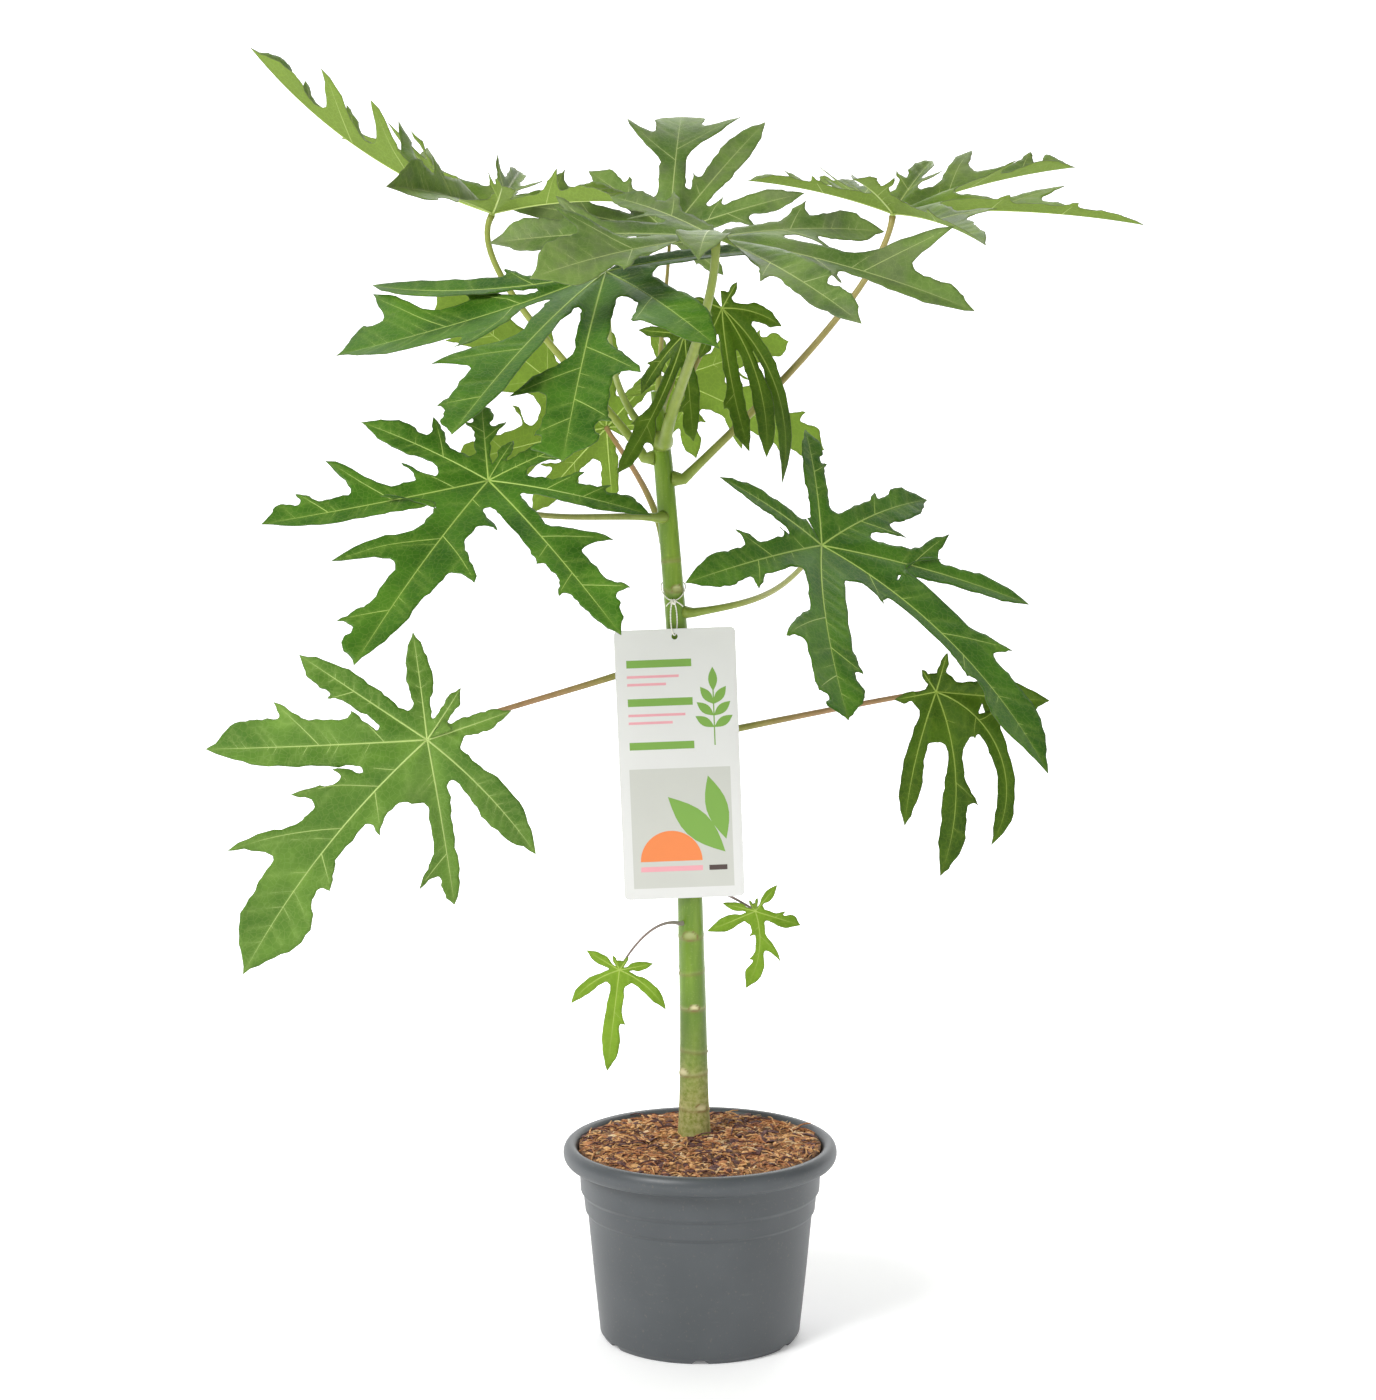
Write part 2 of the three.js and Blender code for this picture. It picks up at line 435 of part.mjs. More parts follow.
// Fills half a lobe: a triangle for each side point, and a strip between the spine and the rest.
function halfLobe(spine, outline, side) {
  const faces = [];
  const body = outline.filter(([, , tip], k) => {
    if (!tip) return true;
    const [low, high, out] = [outline[k - 1], outline[k + 1], outline[k]].map(([, flat]) => flat);
    const rises = (high[0] - low[0]) * (out[1] - low[1]) - (high[1] - low[1]) * (out[0] - low[0]);
    if (rises * side > 0) faces.push([outline[k - 1], outline[k + 1], outline[k]]);
    return rises * side <= 0;
  });
  let [i, j] = [0, 0];
  while (i < spine.length - 1) {
    if (j === body.length - 1 || spine[i + 1][1][0] <= body[j + 1][1][0]) {
      faces.push([spine[i], spine[i + 1], body[j]]);
      i += 1;
    } else {
      faces.push([spine[i], body[j + 1], body[j]]);
      j += 1;
    }
  }
  return faces.map((face) => face.map(([id]) => id)).map(([a, b, c]) => (side > 0 ? [a, b, c] : [a, c, b]));
}

// Blade as a thin closed plate of half lobes.
function bladeGeometry(leaf) {
  const lobes = lobesOf(leaf);
  const points = [];
  const keys = new Map();
  const vertex = (key, make) => {
    if (!keys.has(key)) keys.set(key, points.push(make()) - 1);
    return keys.get(key);
  };
  const hub = vertex('hub', () => vec(...leaf.hub));
  const faces = [];
  const spineSteps = 4;
  lobes.forEach((lobe, i) => {
    const spine = [[hub, [0, 0]]];
    for (let k = 1; k <= spineSteps; k++) {
      const along = (lobe.length * k) / spineSteps;
      spine.push([vertex(`spine ${i} ${k}`, () => bent(lobe, along, 0)), [along, 0]]);
    }
    for (const side of [1, -1]) {
      const neighbour = side > 0 ? i : i - 1;
      const shared = Boolean(lobes[i + side]);
      const outline = lobeSide(lobe, side).map(([along, across, tip], k) => {
        const key = k === 0 && shared ? `notch ${neighbour}` : `edge ${i} ${side} ${k}`;
        return [vertex(key, () => webbed(lobes, i, side, along, across)), [along, across], tip];
      });
      faces.push(...halfLobe(spine, outline, side));
    }
  });
  return thickened(points, faces, bladeThickness);
}

// Gives an open sheet a thickness, half to each side, and closes its edge.
function thickened(points, faces, thickness) {
  const normals = points.map(() => vec(0, 0, 0));
  for (const [a, b, c] of faces) {
    const across = points[b].clone().sub(points[a]).cross(points[c].clone().sub(points[a]));
    for (const i of [a, b, c]) normals[i].add(across);
  }
  normals.forEach((n) => n.normalize().multiplyScalar(thickness / 2));
  const count = points.length;
  const all = [1, -1].flatMap((way) => points.map((p, i) => p.clone().addScaledVector(normals[i], way)));
  const triangles = [];
  const directed = new Set(faces.flatMap(([a, b, c]) => [`${a} ${b}`, `${b} ${c}`, `${c} ${a}`]));
  for (const [a, b, c] of faces) {
    triangles.push([a, b, c], [a + count, c + count, b + count]);
    for (const [from, to] of [[a, b], [b, c], [c, a]]) {
      if (!directed.has(`${to} ${from}`)) {
        triangles.push([from, from + count, to + count], [from, to + count, to]);
      }
    }
  }
  return solid(all, triangles);
}

// ---------------------------------------------------------------- leaf stalks
// A stalk leaves the stem level or rising, and turns in under the hub of its blade.
function stalkGeometry(leaf) {
  const { out } = bladeAxes(leaf.face);
  const hub = vec(...leaf.hub);
  const root = stemAt(leaf.stem);
  const compass = leaf.from === undefined ? Math.atan2(hub.y - root.y, hub.x - root.x) : leaf.from * RAD;
  const away = vec(Math.cos(compass), Math.sin(compass), 0);
  const radius = 2.6 * (leaf.thin ?? 1);
  const footRadius = 1.5 * radius;
  const start = root.clone().addScaledVector(away, stemRadius(leaf.stem - 2 * footRadius) + 2 * GAP);
  const end = hub.clone().addScaledVector(out, -(bladeThickness / 2 + 3 * GAP));
  const span = start.distanceTo(end);
  const clear = start.clone().addScaledVector(away, 1.6 * footRadius);
  const first = away.clone().multiplyScalar(Math.cos(leaf.rise * RAD)).setZ(Math.sin(leaf.rise * RAD));
  const bow = new THREE.CubicBezierCurve3(clear, clear.clone().addScaledVector(first, leaf.sag * span),
    end.clone().addScaledVector(out, -0.22 * span), end);
  const curve = new THREE.CatmullRomCurve3([start, ...bow.getPoints(8)]);
  return limb(curve, (u) => radius + (footRadius - radius) * Math.exp(-u * 9) - 0.25 * radius * u, 6, 9);
}

// ---------------------------------------------------------------- tag and its string
function tagShape() {
  const w = tag.width / 2;
  const h = tag.height / 2;
  const r = tag.corner;
  const shape = new THREE.Shape();
  shape.absarc(w - r, h - r, r, 0, Math.PI / 2);
  shape.absarc(-w + r, h - r, r, Math.PI / 2, Math.PI);
  shape.absarc(-w + r, -h + r, r, Math.PI, 1.5 * Math.PI);
  shape.absarc(w - r, -h + r, r, 1.5 * Math.PI, 2 * Math.PI);
  const hole = new THREE.Path();
  hole.absarc(0, h - tag.holeInset, tag.holeRadius, 0, 2 * Math.PI, true);
  shape.holes.push(hole);
  return shape;
}

function tagGeometry() {
  return new THREE.ExtrudeGeometry(tagShape(), { depth: tag.thickness, bevelEnabled: false, curveSegments: 3 });
}

// The string is a loop round the stem, a knot in front, and a link that hangs down through the hole.
function stringGeometry() {
  const hold = stemAt(cord.height);
  const ring = stemRadius(cord.height) + cord.radius + cord.slack;
  const tilt = tag.tilt * RAD;
  const holeTop = tag.height / 2 - tag.holeInset + tag.holeRadius;
  const low = vec(tag.centre[0] - holeTop * Math.sin(tilt), tag.front + tag.thickness / 2,
    tag.centre[1] + holeTop * Math.cos(tilt) - GAP - 2 * cord.radius);
  const knot = vec(hold.x, hold.y - ring - 0.5, cord.height - 1);
  const reach = (knot.z - low.z) / 2;
  const loop = new THREE.TorusGeometry(ring, cord.radius, 5, 16).translate(hold.x, hold.y, cord.height);
  const link = new THREE.TorusGeometry(1, 0.01, 5, 14);
  const spots = link.attributes.position;
  for (let i = 0; i < spots.count; i++) { // stretch the ring's path but keep the cord's thickness
    const around = Math.atan2(spots.getY(i), spots.getX(i));
    const off = (Math.hypot(spots.getX(i), spots.getY(i)) - 1) * 100 * cord.radius;
    const up = 0.5 + 0.5 * Math.sin(around);
    spots.setXYZ(i, spots.getZ(i) * 100 * cord.radius + THREE.MathUtils.lerp(low.x, knot.x, up),
      low.y + (2.2 + off) * Math.cos(around), (low.z + knot.z) / 2 + (reach + off) * Math.sin(around));
  }
  const ball = new THREE.SphereGeometry(cord.knot, 6, 4).translate(knot.x, knot.y, knot.z);
  return fromManifold(toManifold(loop).add(toManifold(link)).add(toManifold(ball)));
}

// ---------------------------------------------------------------- assembly
const plant = new THREE.Group();
plant.name = 'potted_papaya_plant';

function add(name, geometry, paint) {
  const mesh = new THREE.Mesh(geometry, paint);
  mesh.name = name;
  plant.add(mesh);
  return mesh;
}

add('pot', potGeometry(), paints.pot);
add('substrate', substrateGeometry(), paints.soil);
add('stem', stemGeometry(), paints.stem);
for (const leaf of leaves) {
  add(`stalk_${leaf.name}`, stalkGeometry(leaf), paints.stalk);
  add(`blade_${leaf.name}`, bladeGeometry(leaf), paints.blade);
}
const card = add('tag', tagGeometry(), paints.card);
card.rotation.set(Math.PI / 2, 0, 0);
card.rotateZ(tag.tilt * RAD);
card.position.set(tag.centre[0], tag.front + tag.thickness, tag.centre[1]);
add('tag_string', stringGeometry(), paints.cord);

export default plant;
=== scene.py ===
"""A young papaya plant with hand-shaped leaves, in a round nursery pot, with a hanging card tag."""
import json
import math
import random
import bpy
import numpy as np
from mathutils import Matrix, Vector
from mathutils.geometry import delaunay_2d_cdt

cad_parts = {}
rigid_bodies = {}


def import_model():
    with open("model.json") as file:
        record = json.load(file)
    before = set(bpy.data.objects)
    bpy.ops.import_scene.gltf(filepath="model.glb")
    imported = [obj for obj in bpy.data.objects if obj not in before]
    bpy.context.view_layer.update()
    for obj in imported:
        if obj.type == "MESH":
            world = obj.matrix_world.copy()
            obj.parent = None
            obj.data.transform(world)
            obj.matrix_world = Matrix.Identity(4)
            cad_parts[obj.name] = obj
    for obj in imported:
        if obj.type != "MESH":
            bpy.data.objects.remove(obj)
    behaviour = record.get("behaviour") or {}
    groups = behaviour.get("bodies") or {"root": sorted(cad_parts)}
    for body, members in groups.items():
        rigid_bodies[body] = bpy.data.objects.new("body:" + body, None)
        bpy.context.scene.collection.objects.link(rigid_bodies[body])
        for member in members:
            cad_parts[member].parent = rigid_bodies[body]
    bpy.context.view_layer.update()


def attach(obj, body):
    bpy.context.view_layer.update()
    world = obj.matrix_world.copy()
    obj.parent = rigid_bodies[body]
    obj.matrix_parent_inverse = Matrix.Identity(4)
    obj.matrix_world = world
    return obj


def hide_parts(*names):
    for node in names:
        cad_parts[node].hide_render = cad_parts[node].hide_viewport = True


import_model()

MM = 0.001

# ------------------------------------------------------------------ camera, light and floor
# The plant stands on a plain white floor that sweeps up behind it. A large soft light comes from
# the upper left in front, a weaker one from the right, and one from behind shines through the leaves.
scene = bpy.context.scene
scene.view_settings.view_transform = "Standard"
camera = bpy.data.objects.new("camera", bpy.data.cameras.new("camera"))
scene.collection.objects.link(camera)
looks_down = 8.35
camera.location = (-0.0095, -2.62, 0.89)
camera.rotation_euler = (math.radians(90 - looks_down), 0, 0)
camera.data.lens = 90
camera.data.sensor_width = 36
camera.data.sensor_fit = "HORIZONTAL"
camera.data.clip_start = 0.05
scene.camera = camera

world = bpy.data.worlds.new("studio")
world.use_nodes = True
world.node_tree.nodes["Background"].inputs["Color"].default_value = (1, 1, 1, 1)
world.node_tree.nodes["Background"].inputs["Strength"].default_value = 0.3
scene.world = world


def soft_light(name, place, aim, size, power):
    """Square lamp that faces a point."""
    lamp = bpy.data.lights.new(name, "AREA")
    lamp.size = size
    lamp.energy = power
    holder = bpy.data.objects.new(name, lamp)
    scene.collection.objects.link(holder)
    holder.location = place
    holder.rotation_euler = (Vector(place) - Vector(aim)).to_track_quat("Z", "Y").to_euler()


soft_light("key", (-1.6, -1.9, 2.2), (0, 0, 0.6), 1.1, 78)
soft_light("fill", (2.0, -1.8, 1.0), (0, 0, 0.5), 1.6, 8)
soft_light("back", (0.4, 1.7, 2.0), (0, 0, 0.8), 1.2, 16)


def linear(red, green, blue):
    """Screen colour from 0 to 255 as the linear colour that a shader takes."""
    def one(value):
        value /= 255
        return value / 12.92 if value <= 0.04045 else ((value + 0.055) / 1.055) ** 2.4
    return (one(red), one(green), one(blue), 1)


class Value:
    """A number that varies over a surface. An expression on it adds its Math nodes."""

    def __init__(self, paint, socket):
        self.paint = paint
        self.socket = socket

    def math(self, operation, *others):
        sockets = dict(enumerate((self, *others)))
        return self.paint.node("ShaderNodeMath", {"operation": operation}, sockets)

    def __add__(self, other): return self.math("ADD", other)
    def __radd__(self, other): return self.math("ADD", other)
    def __sub__(self, other): return self.math("SUBTRACT", other)
    def __rsub__(self, other): return (self * -1).math("ADD", other)
    def __mul__(self, other): return self.math("MULTIPLY", other)
    def __rmul__(self, other): return self.math("MULTIPLY", other)


class Paint:
    """A material that is built up node by node."""

    def __init__(self, name, **fixed):
        self.material = bpy.data.materials.new(name)
        self.material.use_nodes = True
        self.tree = self.material.node_tree
        self.surface = self.tree.nodes["Principled BSDF"]
        for socket, value in fixed.items():
            self.surface.inputs[socket.replace("_", " ")].default_value = value

    def node(self, kind, settings=None, sockets=None, out=0):
        """Adds a node: its settings first, then the values or links of its sockets."""
        node = self.tree.nodes.new(kind)
        for key, value in (settings or {}).items():
            if key == "stops":
                ramp = node.color_ramp
                while len(ramp.elements) < len(value):
                    ramp.elements.new(0.5)
                for element, (place, colour) in zip(ramp.elements, value):
                    element.position = place
                    element.color = colour
            else:
                setattr(node, key, value)
        for key, value in (sockets or {}).items():
            if isinstance(value, Value):
                self.tree.links.new(value.socket, node.inputs[key])
            else:
                node.inputs[key].default_value = value
        return Value(self, node.outputs[out])

    def feed(self, **links):
        """Links values and colours to the sockets of the surface."""
        for socket, value in links.items():
            self.tree.links.new(value.socket, self.surface.inputs[socket.replace("_", " ")])
        return self

    def place(self):
        return self.node("ShaderNodeTexCoord", out="Object")

    def mark(self, name):
        """Value that the piece carries at each of its points."""
        return self.node("ShaderNodeAttribute", {"attribute_name": name}, out="Fac")

    def noise(self, scale, detail=3, rough=0.55, where=None, stretch=None):
        """Cloudy value round 0.5. scale is in blobs for each metre."""
        where = where or self.place()
        if stretch:
            where = self.node("ShaderNodeMapping", None, {"Vector": where, "Scale": stretch})
        sockets = {"Vector": where, "Scale": scale, "Detail": detail, "Roughness": rough}
        return self.node("ShaderNodeTexNoise", None, sockets)

    def fade(self, value, low, high):
        """0 below low, 1 above high, smooth between."""
        sockets = {"Value": value, "From Min": low, "From Max": high}
        return self.node("ShaderNodeMapRange", {"interpolation_type": "SMOOTHSTEP"}, sockets)

    def mix(self, share, first, second):
        """Colour between two colours."""
        return self.node("ShaderNodeMix", {"data_type": "RGBA"}, {0: share, 6: first, 7: second}, out=2)

    def ramp(self, value, *stops):
        """Colour that runs through stops of (place, colour) as the value grows."""
        return self.node("ShaderNodeValToRGB", {"stops": stops}, {0: value})

    def bump(self, height, strength, distance):
        sockets = {"Height": height, "Strength": strength, "Distance": distance}
        self.feed(Normal=self.node("ShaderNodeBump", None, sockets))
        return self

    def glow_through(self, colour, share):
        """Lets a share of the light through, as a leaf does."""
        leaky = self.node("ShaderNodeBsdfTranslucent", None, {"Color": colour})
        both = self.node("ShaderNodeMixShader", None, {0: share, 2: leaky})
        self.tree.links.new(self.surface.outputs[0], both.socket.node.inputs[1])
        self.tree.links.new(both.socket, self.tree.nodes["Material Output"].inputs["Surface"])
        return self


# The floor shines a little of itself, less close to the pot, so that it stays white far from the lamps.
floor_paint = Paint("floor_white", Roughness=0.9, Emission_Strength=0.8)
away = floor_paint.node("ShaderNodeVectorMath", {"operation": "LENGTH"}, {0: floor_paint.place()}, out=1)
floor_paint.feed(
    Base_Color=floor_paint.ramp(floor_paint.noise(1.5), (0.0, linear(250, 250, 250)),
                                (1.0, linear(253, 253, 253))),
    Emission_Color=floor_paint.mix(floor_paint.fade(away, 0.1, 0.9), (0.22, 0.22, 0.22, 1), (1, 1, 1, 1)))
floor_front, floor_back, floor_half_width, sweep, wall_top = -4, 2.4, 7, 1.6, 7
floor_line = [(floor_front, 0), (floor_back, 0)]
floor_line += [(floor_back + sweep * math.sin(a), sweep - sweep * math.cos(a))
               for a in np.radians(np.arange(6, 91, 6))]
floor_line.append((floor_back + sweep, wall_top))
floor_mesh = bpy.data.meshes.new("floor")
floor_mesh.from_pydata([(x, y, z) for y, z in floor_line for x in (-floor_half_width, floor_half_width)], [],
                       [(2 * k, 2 * k + 1, 2 * k + 3, 2 * k + 2) for k in range(len(floor_line) - 1)])
floor_mesh.polygons.foreach_set("use_smooth", [True] * len(floor_mesh.polygons))
floor = bpy.data.objects.new("floor", floor_mesh)
scene.collection.objects.link(floor)
floor_mesh.materials.append(floor_paint.material)


# ------------------------------------------------------------------ pot
# A blow-moulded nursery pot of grey plastic, turned about its own axis: a rolled rim over a plain
# collar, two soft steps, and a wall that narrows to a foot ring with drain notches and a centre pad.
class Shape:
    """Points, faces, the finish of each face and marks of each point, gathered into one piece."""

    def __init__(self, *finishes):
        self.finishes = finishes
        self.points = []
        self.faces = []
        self.finish = []
        self.marks = {}
        self.count = 0

    def add(self, points, faces, finish=0, **marks):
        """Adds a part. Its faces count from its own first point, and a mark is one value or one a point."""
        points = np.asarray(points, float)
        self.points.append(points)
        self.faces += [tuple(int(i) + self.count for i in face) for face in faces]
        self.finish += list(finish) if isinstance(finish, (list, np.ndarray)) else [finish] * len(faces)
        for name, values in marks.items():
            self.marks.setdefault(name, []).append((self.count, np.broadcast_to(values, len(points))))
        self.count += len(points)

    def piece(self, name, smooth=True):
        """The object itself, in metres."""
        mesh = bpy.data.meshes.new(name)
        mesh.from_pydata((np.vstack(self.points) * MM).tolist(), [], self.faces)
        for paint in self.finishes:
            mesh.materials.append(paint.material)
        mesh.polygons.foreach_set("material_index", self.finish)
        mesh.polygons.foreach_set("use_smooth", [smooth] * len(self.faces))
        for mark, runs in self.marks.items():
            values = np.zeros(self.count, dtype=np.float32)
            for start, run in runs:
                values[start:start + len(run)] = run
            mesh.attributes.new(mark, "FLOAT", "POINT").data.foreach_set("value", values)
        mesh.update()
        thing = bpy.data.objects.new(name, mesh)
        scene.collection.objects.link(thing)
        return thing


def hand_in(piece, slot, *nodes):
    """Ties a finished piece to the plant's one body and lets it stand for its solids."""
    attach(piece, "root")
    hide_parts(*nodes)


def eased(corners, radius, steps=4):
    """Profile whose corners between its two ends are rounded, by up to that radius."""
    corners = [np.array(c, float) for c in corners]
    line = [corners[0]]
    for before, corner, after in zip(corners, corners[1:], corners[2:]):
        ways = [before - corner, after - corner]
        lengths = [np.linalg.norm(w) for w in ways]
        cut = min(radius, 0.45 * min(lengths))
        start, end = (corner + w / length * cut for w, length in zip(ways, lengths))
        for t in np.linspace(0, 1, steps + 1):
            line.append(start * (1 - t) ** 2 + corner * 2 * t * (1 - t) + end * t * t)
    line.append(corners[-1])
    return np.array(line)


def lathe(profile, sides):
    """Closed shape turned about the plant's axis from a profile that starts and ends on it."""
    angles = np.arange(sides) * 2 * np.pi / sides
    ring = profile[1:-1]
    rows = len(ring)
    wall = np.stack([np.outer(ring[:, 0], np.cos(angles)), np.outer(ring[:, 0], np.sin(angles)),
                     np.repeat(ring[:, 1:], sides, axis=1)], axis=-1).reshape(-1, 3)
    poles = [[0, 0, profile[0][1]], [0, 0, profile[-1][1]]]
    foot, top = rows * sides, rows * sides + 1
    faces = []
    for j in range(sides):
        k = (j + 1) % sides
        faces.append((foot, k, j))
        faces.append((top, (rows - 1) * sides + j, (rows - 1) * sides + k))
        for i in range(rows - 1):
            faces.append((i * sides + j, i * sides + k, (i + 1) * sides + k, (i + 1) * sides + j))
    return np.vstack([wall, poles]), faces


pot_rim, pot_height, pot_base, pot_wall = 107.3, 156, 78.8, 2
pot_taper, pot_sides = 0.0935, 144
roll_width, roll_height, foot_height, floor_thickness = 11.5, 16, 3, 3
pad_radius, foot_width = 30, 10
drain_count, drain_radius, drain_inset = 6, 6, 18
notch_half, notch_depth = 6, 2.6


def wall_radius(z):
    """Outer radius of the pot's plain wall."""
    return pot_base + pot_taper * z


roll_low, pot_floor = pot_height - roll_height, foot_height + floor_thickness
roll = [(pot_rim - roll_width / 2 + roll_width / 2 * math.cos(a), pot_height - roll_height / 2
         + roll_height / 2 * math.sin(a)) for a in np.radians(np.arange(-70, 171, 15))]
pot_outside = [(0, 0), (pad_radius, 0), (pad_radius, foot_height), (pot_base - foot_width, foot_height),
               (pot_base - foot_width, 0), (pot_base - 3, 0), (pot_base, 4.5), (wall_radius(50), 50),
               (wall_radius(92), 92), (wall_radius(100), 100), (wall_radius(102) + 1.9, 102.5),
               (wall_radius(114) + 2.1, 115.5), (93.8, 118.5), (94.6, roll_low - 4), (95.6, roll_low - 0.5)]
pot_inside = [(94.2, roll_low + 3), (92.4, roll_low - 4), (91.6, 119), (wall_radius(104) - pot_wall, 104),
              (wall_radius(50) - pot_wall, 50), (pot_base - pot_wall - 1, pot_floor), (0, pot_floor)]
pot_points, pot_faces = lathe(np.vstack([eased(pot_outside, 0.7), roll, eased(pot_inside, 2)]), pot_sides)
drain_step = 2 * math.pi / drain_count
notch_turn = np.arctan2(pot_points[:, 1], pot_points[:, 0]) / drain_step - 0.5
in_notch = np.abs(notch_turn - np.round(notch_turn)) * drain_step * pot_base < notch_half
on_foot = (np.hypot(pot_points[:, 0], pot_points[:, 1]) > pot_base - 12) & (pot_points[:, 2] < notch_depth)
pot_points[in_notch & on_foot, 2] = notch_depth

pot_paint = Paint("pot_plastic", Roughness=0.42)
cloud = pot_paint.noise(9, 4)
scuffs = pot_paint.fade(pot_paint.noise(34, 6, 0.75, stretch=(1, 1, 6)), 0.58, 0.78)
dust = pot_paint.fade(pot_paint.noise(420, 2), 0.62, 0.74)
pot_grey = pot_paint.ramp(cloud, (0.3, linear(66, 70, 73)), (0.7, linear(80, 84, 87)))
pot_grey = pot_paint.mix(scuffs * 0.3, pot_grey, linear(112, 115, 114))
pot_grey = pot_paint.mix(dust * 0.12, pot_grey, linear(150, 138, 118))
pot_paint.feed(Base_Color=pot_grey, Roughness=0.36 + cloud * 0.16 + scuffs * 0.2)
pot_paint.bump(pot_paint.noise(900, 2) + scuffs * 0.4, 0.12, 0.0004)
pot_shape = Shape(pot_paint)
pot_shape.add(pot_points, pot_faces)
pot_piece = pot_shape.piece("nursery_pot")

# The drain holes are bored by six short rods.
drill_sides, drill_ends = 16, (1, 10)
drill_shape = Shape(pot_paint)
for turn in range(drain_count):
    angle = drain_step * (turn + 0.5)
    middle = (pot_base - drain_inset) * np.array([math.cos(angle), math.sin(angle)])
    drill_points = [(middle[0] + drain_radius * math.cos(a), middle[1] + drain_radius * math.sin(a), z)
                    for z in drill_ends for a in np.arange(drill_sides) * 2 * math.pi / drill_sides]
    drill_faces = [(j, (j + 1) % drill_sides, drill_sides + (j + 1) % drill_sides, drill_sides + j)
                   for j in range(drill_sides)]
    drill_faces += [tuple(range(drill_sides - 1, -1, -1)), tuple(range(drill_sides, 2 * drill_sides))]
    drill_shape.add(drill_points, drill_faces)
drills = drill_shape.piece("drills", smooth=False)


def settled(piece):
    """The piece with its modifiers worked out into its own mesh."""
    worked = bpy.data.meshes.new_from_object(piece.evaluated_get(bpy.context.evaluated_depsgraph_get()))
    worked.name = piece.name
    piece.modifiers.clear()
    piece.data = worked
    return piece


holes = pot_piece.modifiers.new("holes", "BOOLEAN")
holes.operation = "DIFFERENCE"
holes.solver = "EXACT"
holes.object = drills
settled(pot_piece)
bpy.data.objects.remove(drills)
hand_in(pot_piece, "pot", "pot")

# ------------------------------------------------------------------ substrate
# Damp coir and bark: a low mound packed with chips, flakes and splinters of four browns, thrown on
# in no order. The mound stays just inside the pot's wall and leaves a thin dark gap round it.
soil_edge, soil_crown, soil_reach = 153.2, 154.5, 95.6


def mound(x, y):
    """Height of the substrate's surface."""
    out = np.hypot(x, y) / soil_reach
    lumps = 1.5 * np.sin(x / 9 + 1) * np.cos(y / 7) + 1.2 * np.sin(x / 4.6) * np.sin((x + 2 * y) / 5.2)
    return soil_edge + 2.5 * (soil_crown - soil_edge) * (1 - out ** 2.2) + lumps * (1 - out ** 6)


soil_paint = Paint("damp_coir", Roughness=0.95)
grit = soil_paint.noise(260, 5, 0.7)
soil_paint.feed(Base_Color=soil_paint.ramp(
    grit, (0.35, linear(58, 40, 30)), (0.52, linear(130, 90, 56)), (0.66, linear(186, 134, 84))))
soil_paint.bump(grit, 0.9, 0.003)
# The side keeps just inside the pot. Every point from its last one inwards goes up to the mound.
soil_side = [(0, 6.3), (75.5, 6.3), (81, 50), (86.4, 104), (91.2, 119), (91.8, 134), (93.4, 143), (94.8, 147)]
brim = soil_side[-1][1]
soil_top = [(r, brim) for r in np.linspace(93, 2, 36)] + [(0, brim)]
soil_points, soil_faces = lathe(np.array(soil_side + soil_top), 120)
on_top = soil_points[:, 2] >= brim
soil_points[on_top, 2] = mound(soil_points[on_top, 0], soil_points[on_top, 1])
soil_shape = Shape(soil_paint)
soil_shape.add(soil_points, soil_faces)
soil_piece = soil_shape.piece("substrate_mound")


class Steps:
    """A Geometry Nodes tree that is built up node by node."""

    def __init__(self, name, **numbers):
        self.tree = bpy.data.node_groups.new(name, "GeometryNodeTree")
        face = self.tree.interface
        face.new_socket("Geometry", in_out="OUTPUT", socket_type="NodeSocketGeometry")
        face.new_socket("Geometry", in_out="INPUT", socket_type="NodeSocketGeometry")
        self.ids = {}
        for label, value in numbers.items():
            whole = isinstance(value, int)
            made = face.new_socket(label, in_out="INPUT",
                                   socket_type="NodeSocketInt" if whole else "NodeSocketFloat")
            made.default_value = value
            self.ids[label] = made.identifier
        self.entry = self.tree.nodes.new("NodeGroupInput")
        self.exit = self.tree.nodes.new("NodeGroupOutput")

    def node(self, kind, settings=None, sockets=None):
        """Adds a node: its settings first, then the values or links of its sockets."""
        node = self.tree.nodes.new(kind)
        for key, value in (settings or {}).items():
            setattr(node, key, value)
        for key, value in (sockets or {}).items():
            if isinstance(value, bpy.types.NodeSocket):
                self.tree.links.new(value, node.inputs[key])
            else:
                node.inputs[key].default_value = value
        return node

    def number(self, label):
        """One of the tree's own inputs, by its name."""
        return self.entry.outputs[label]


def chip_mesh(name, long, wide, thick, bow, seed):
    """One rough splinter: a bowed bar of five uneven rings with blunt ends."""
    rng = random.Random(seed)
    rings, corners = 5, (0.4, 1.3, 2.7, 3.6, 4.6, 5.6)
    n = len(corners)
    points = []
    for i in range(rings):
        u = i / (rings - 1)
        swell = (0.35 + 0.65 * math.sin(math.pi * (0.12 + 0.76 * u))) * rng.uniform(0.75, 1.1)
        for a in corners:
            points.append(((u - 0.5) * long + rng.uniform(-0.05, 0.05) * long,
                           math.cos(a) * wide / 2 * swell * rng.uniform(0.7, 1.1),
                           math.sin(a) * thick / 2 * swell + bow * math.sin(math.pi * u)))
    faces = [(i * n + j, i * n + (j + 1) % n, i * n + n + (j + 1) % n, i * n + n + j)
             for i in range(rings - 1) for j in range(n)]
    faces += [tuple(range(n - 1, -1, -1)), tuple(range(rings * n - n, rings * n))]
    shape = Shape()
    shape.add(points, [tuple(reversed(f)) for f in faces])
    return shape.piece(name, smooth=False)


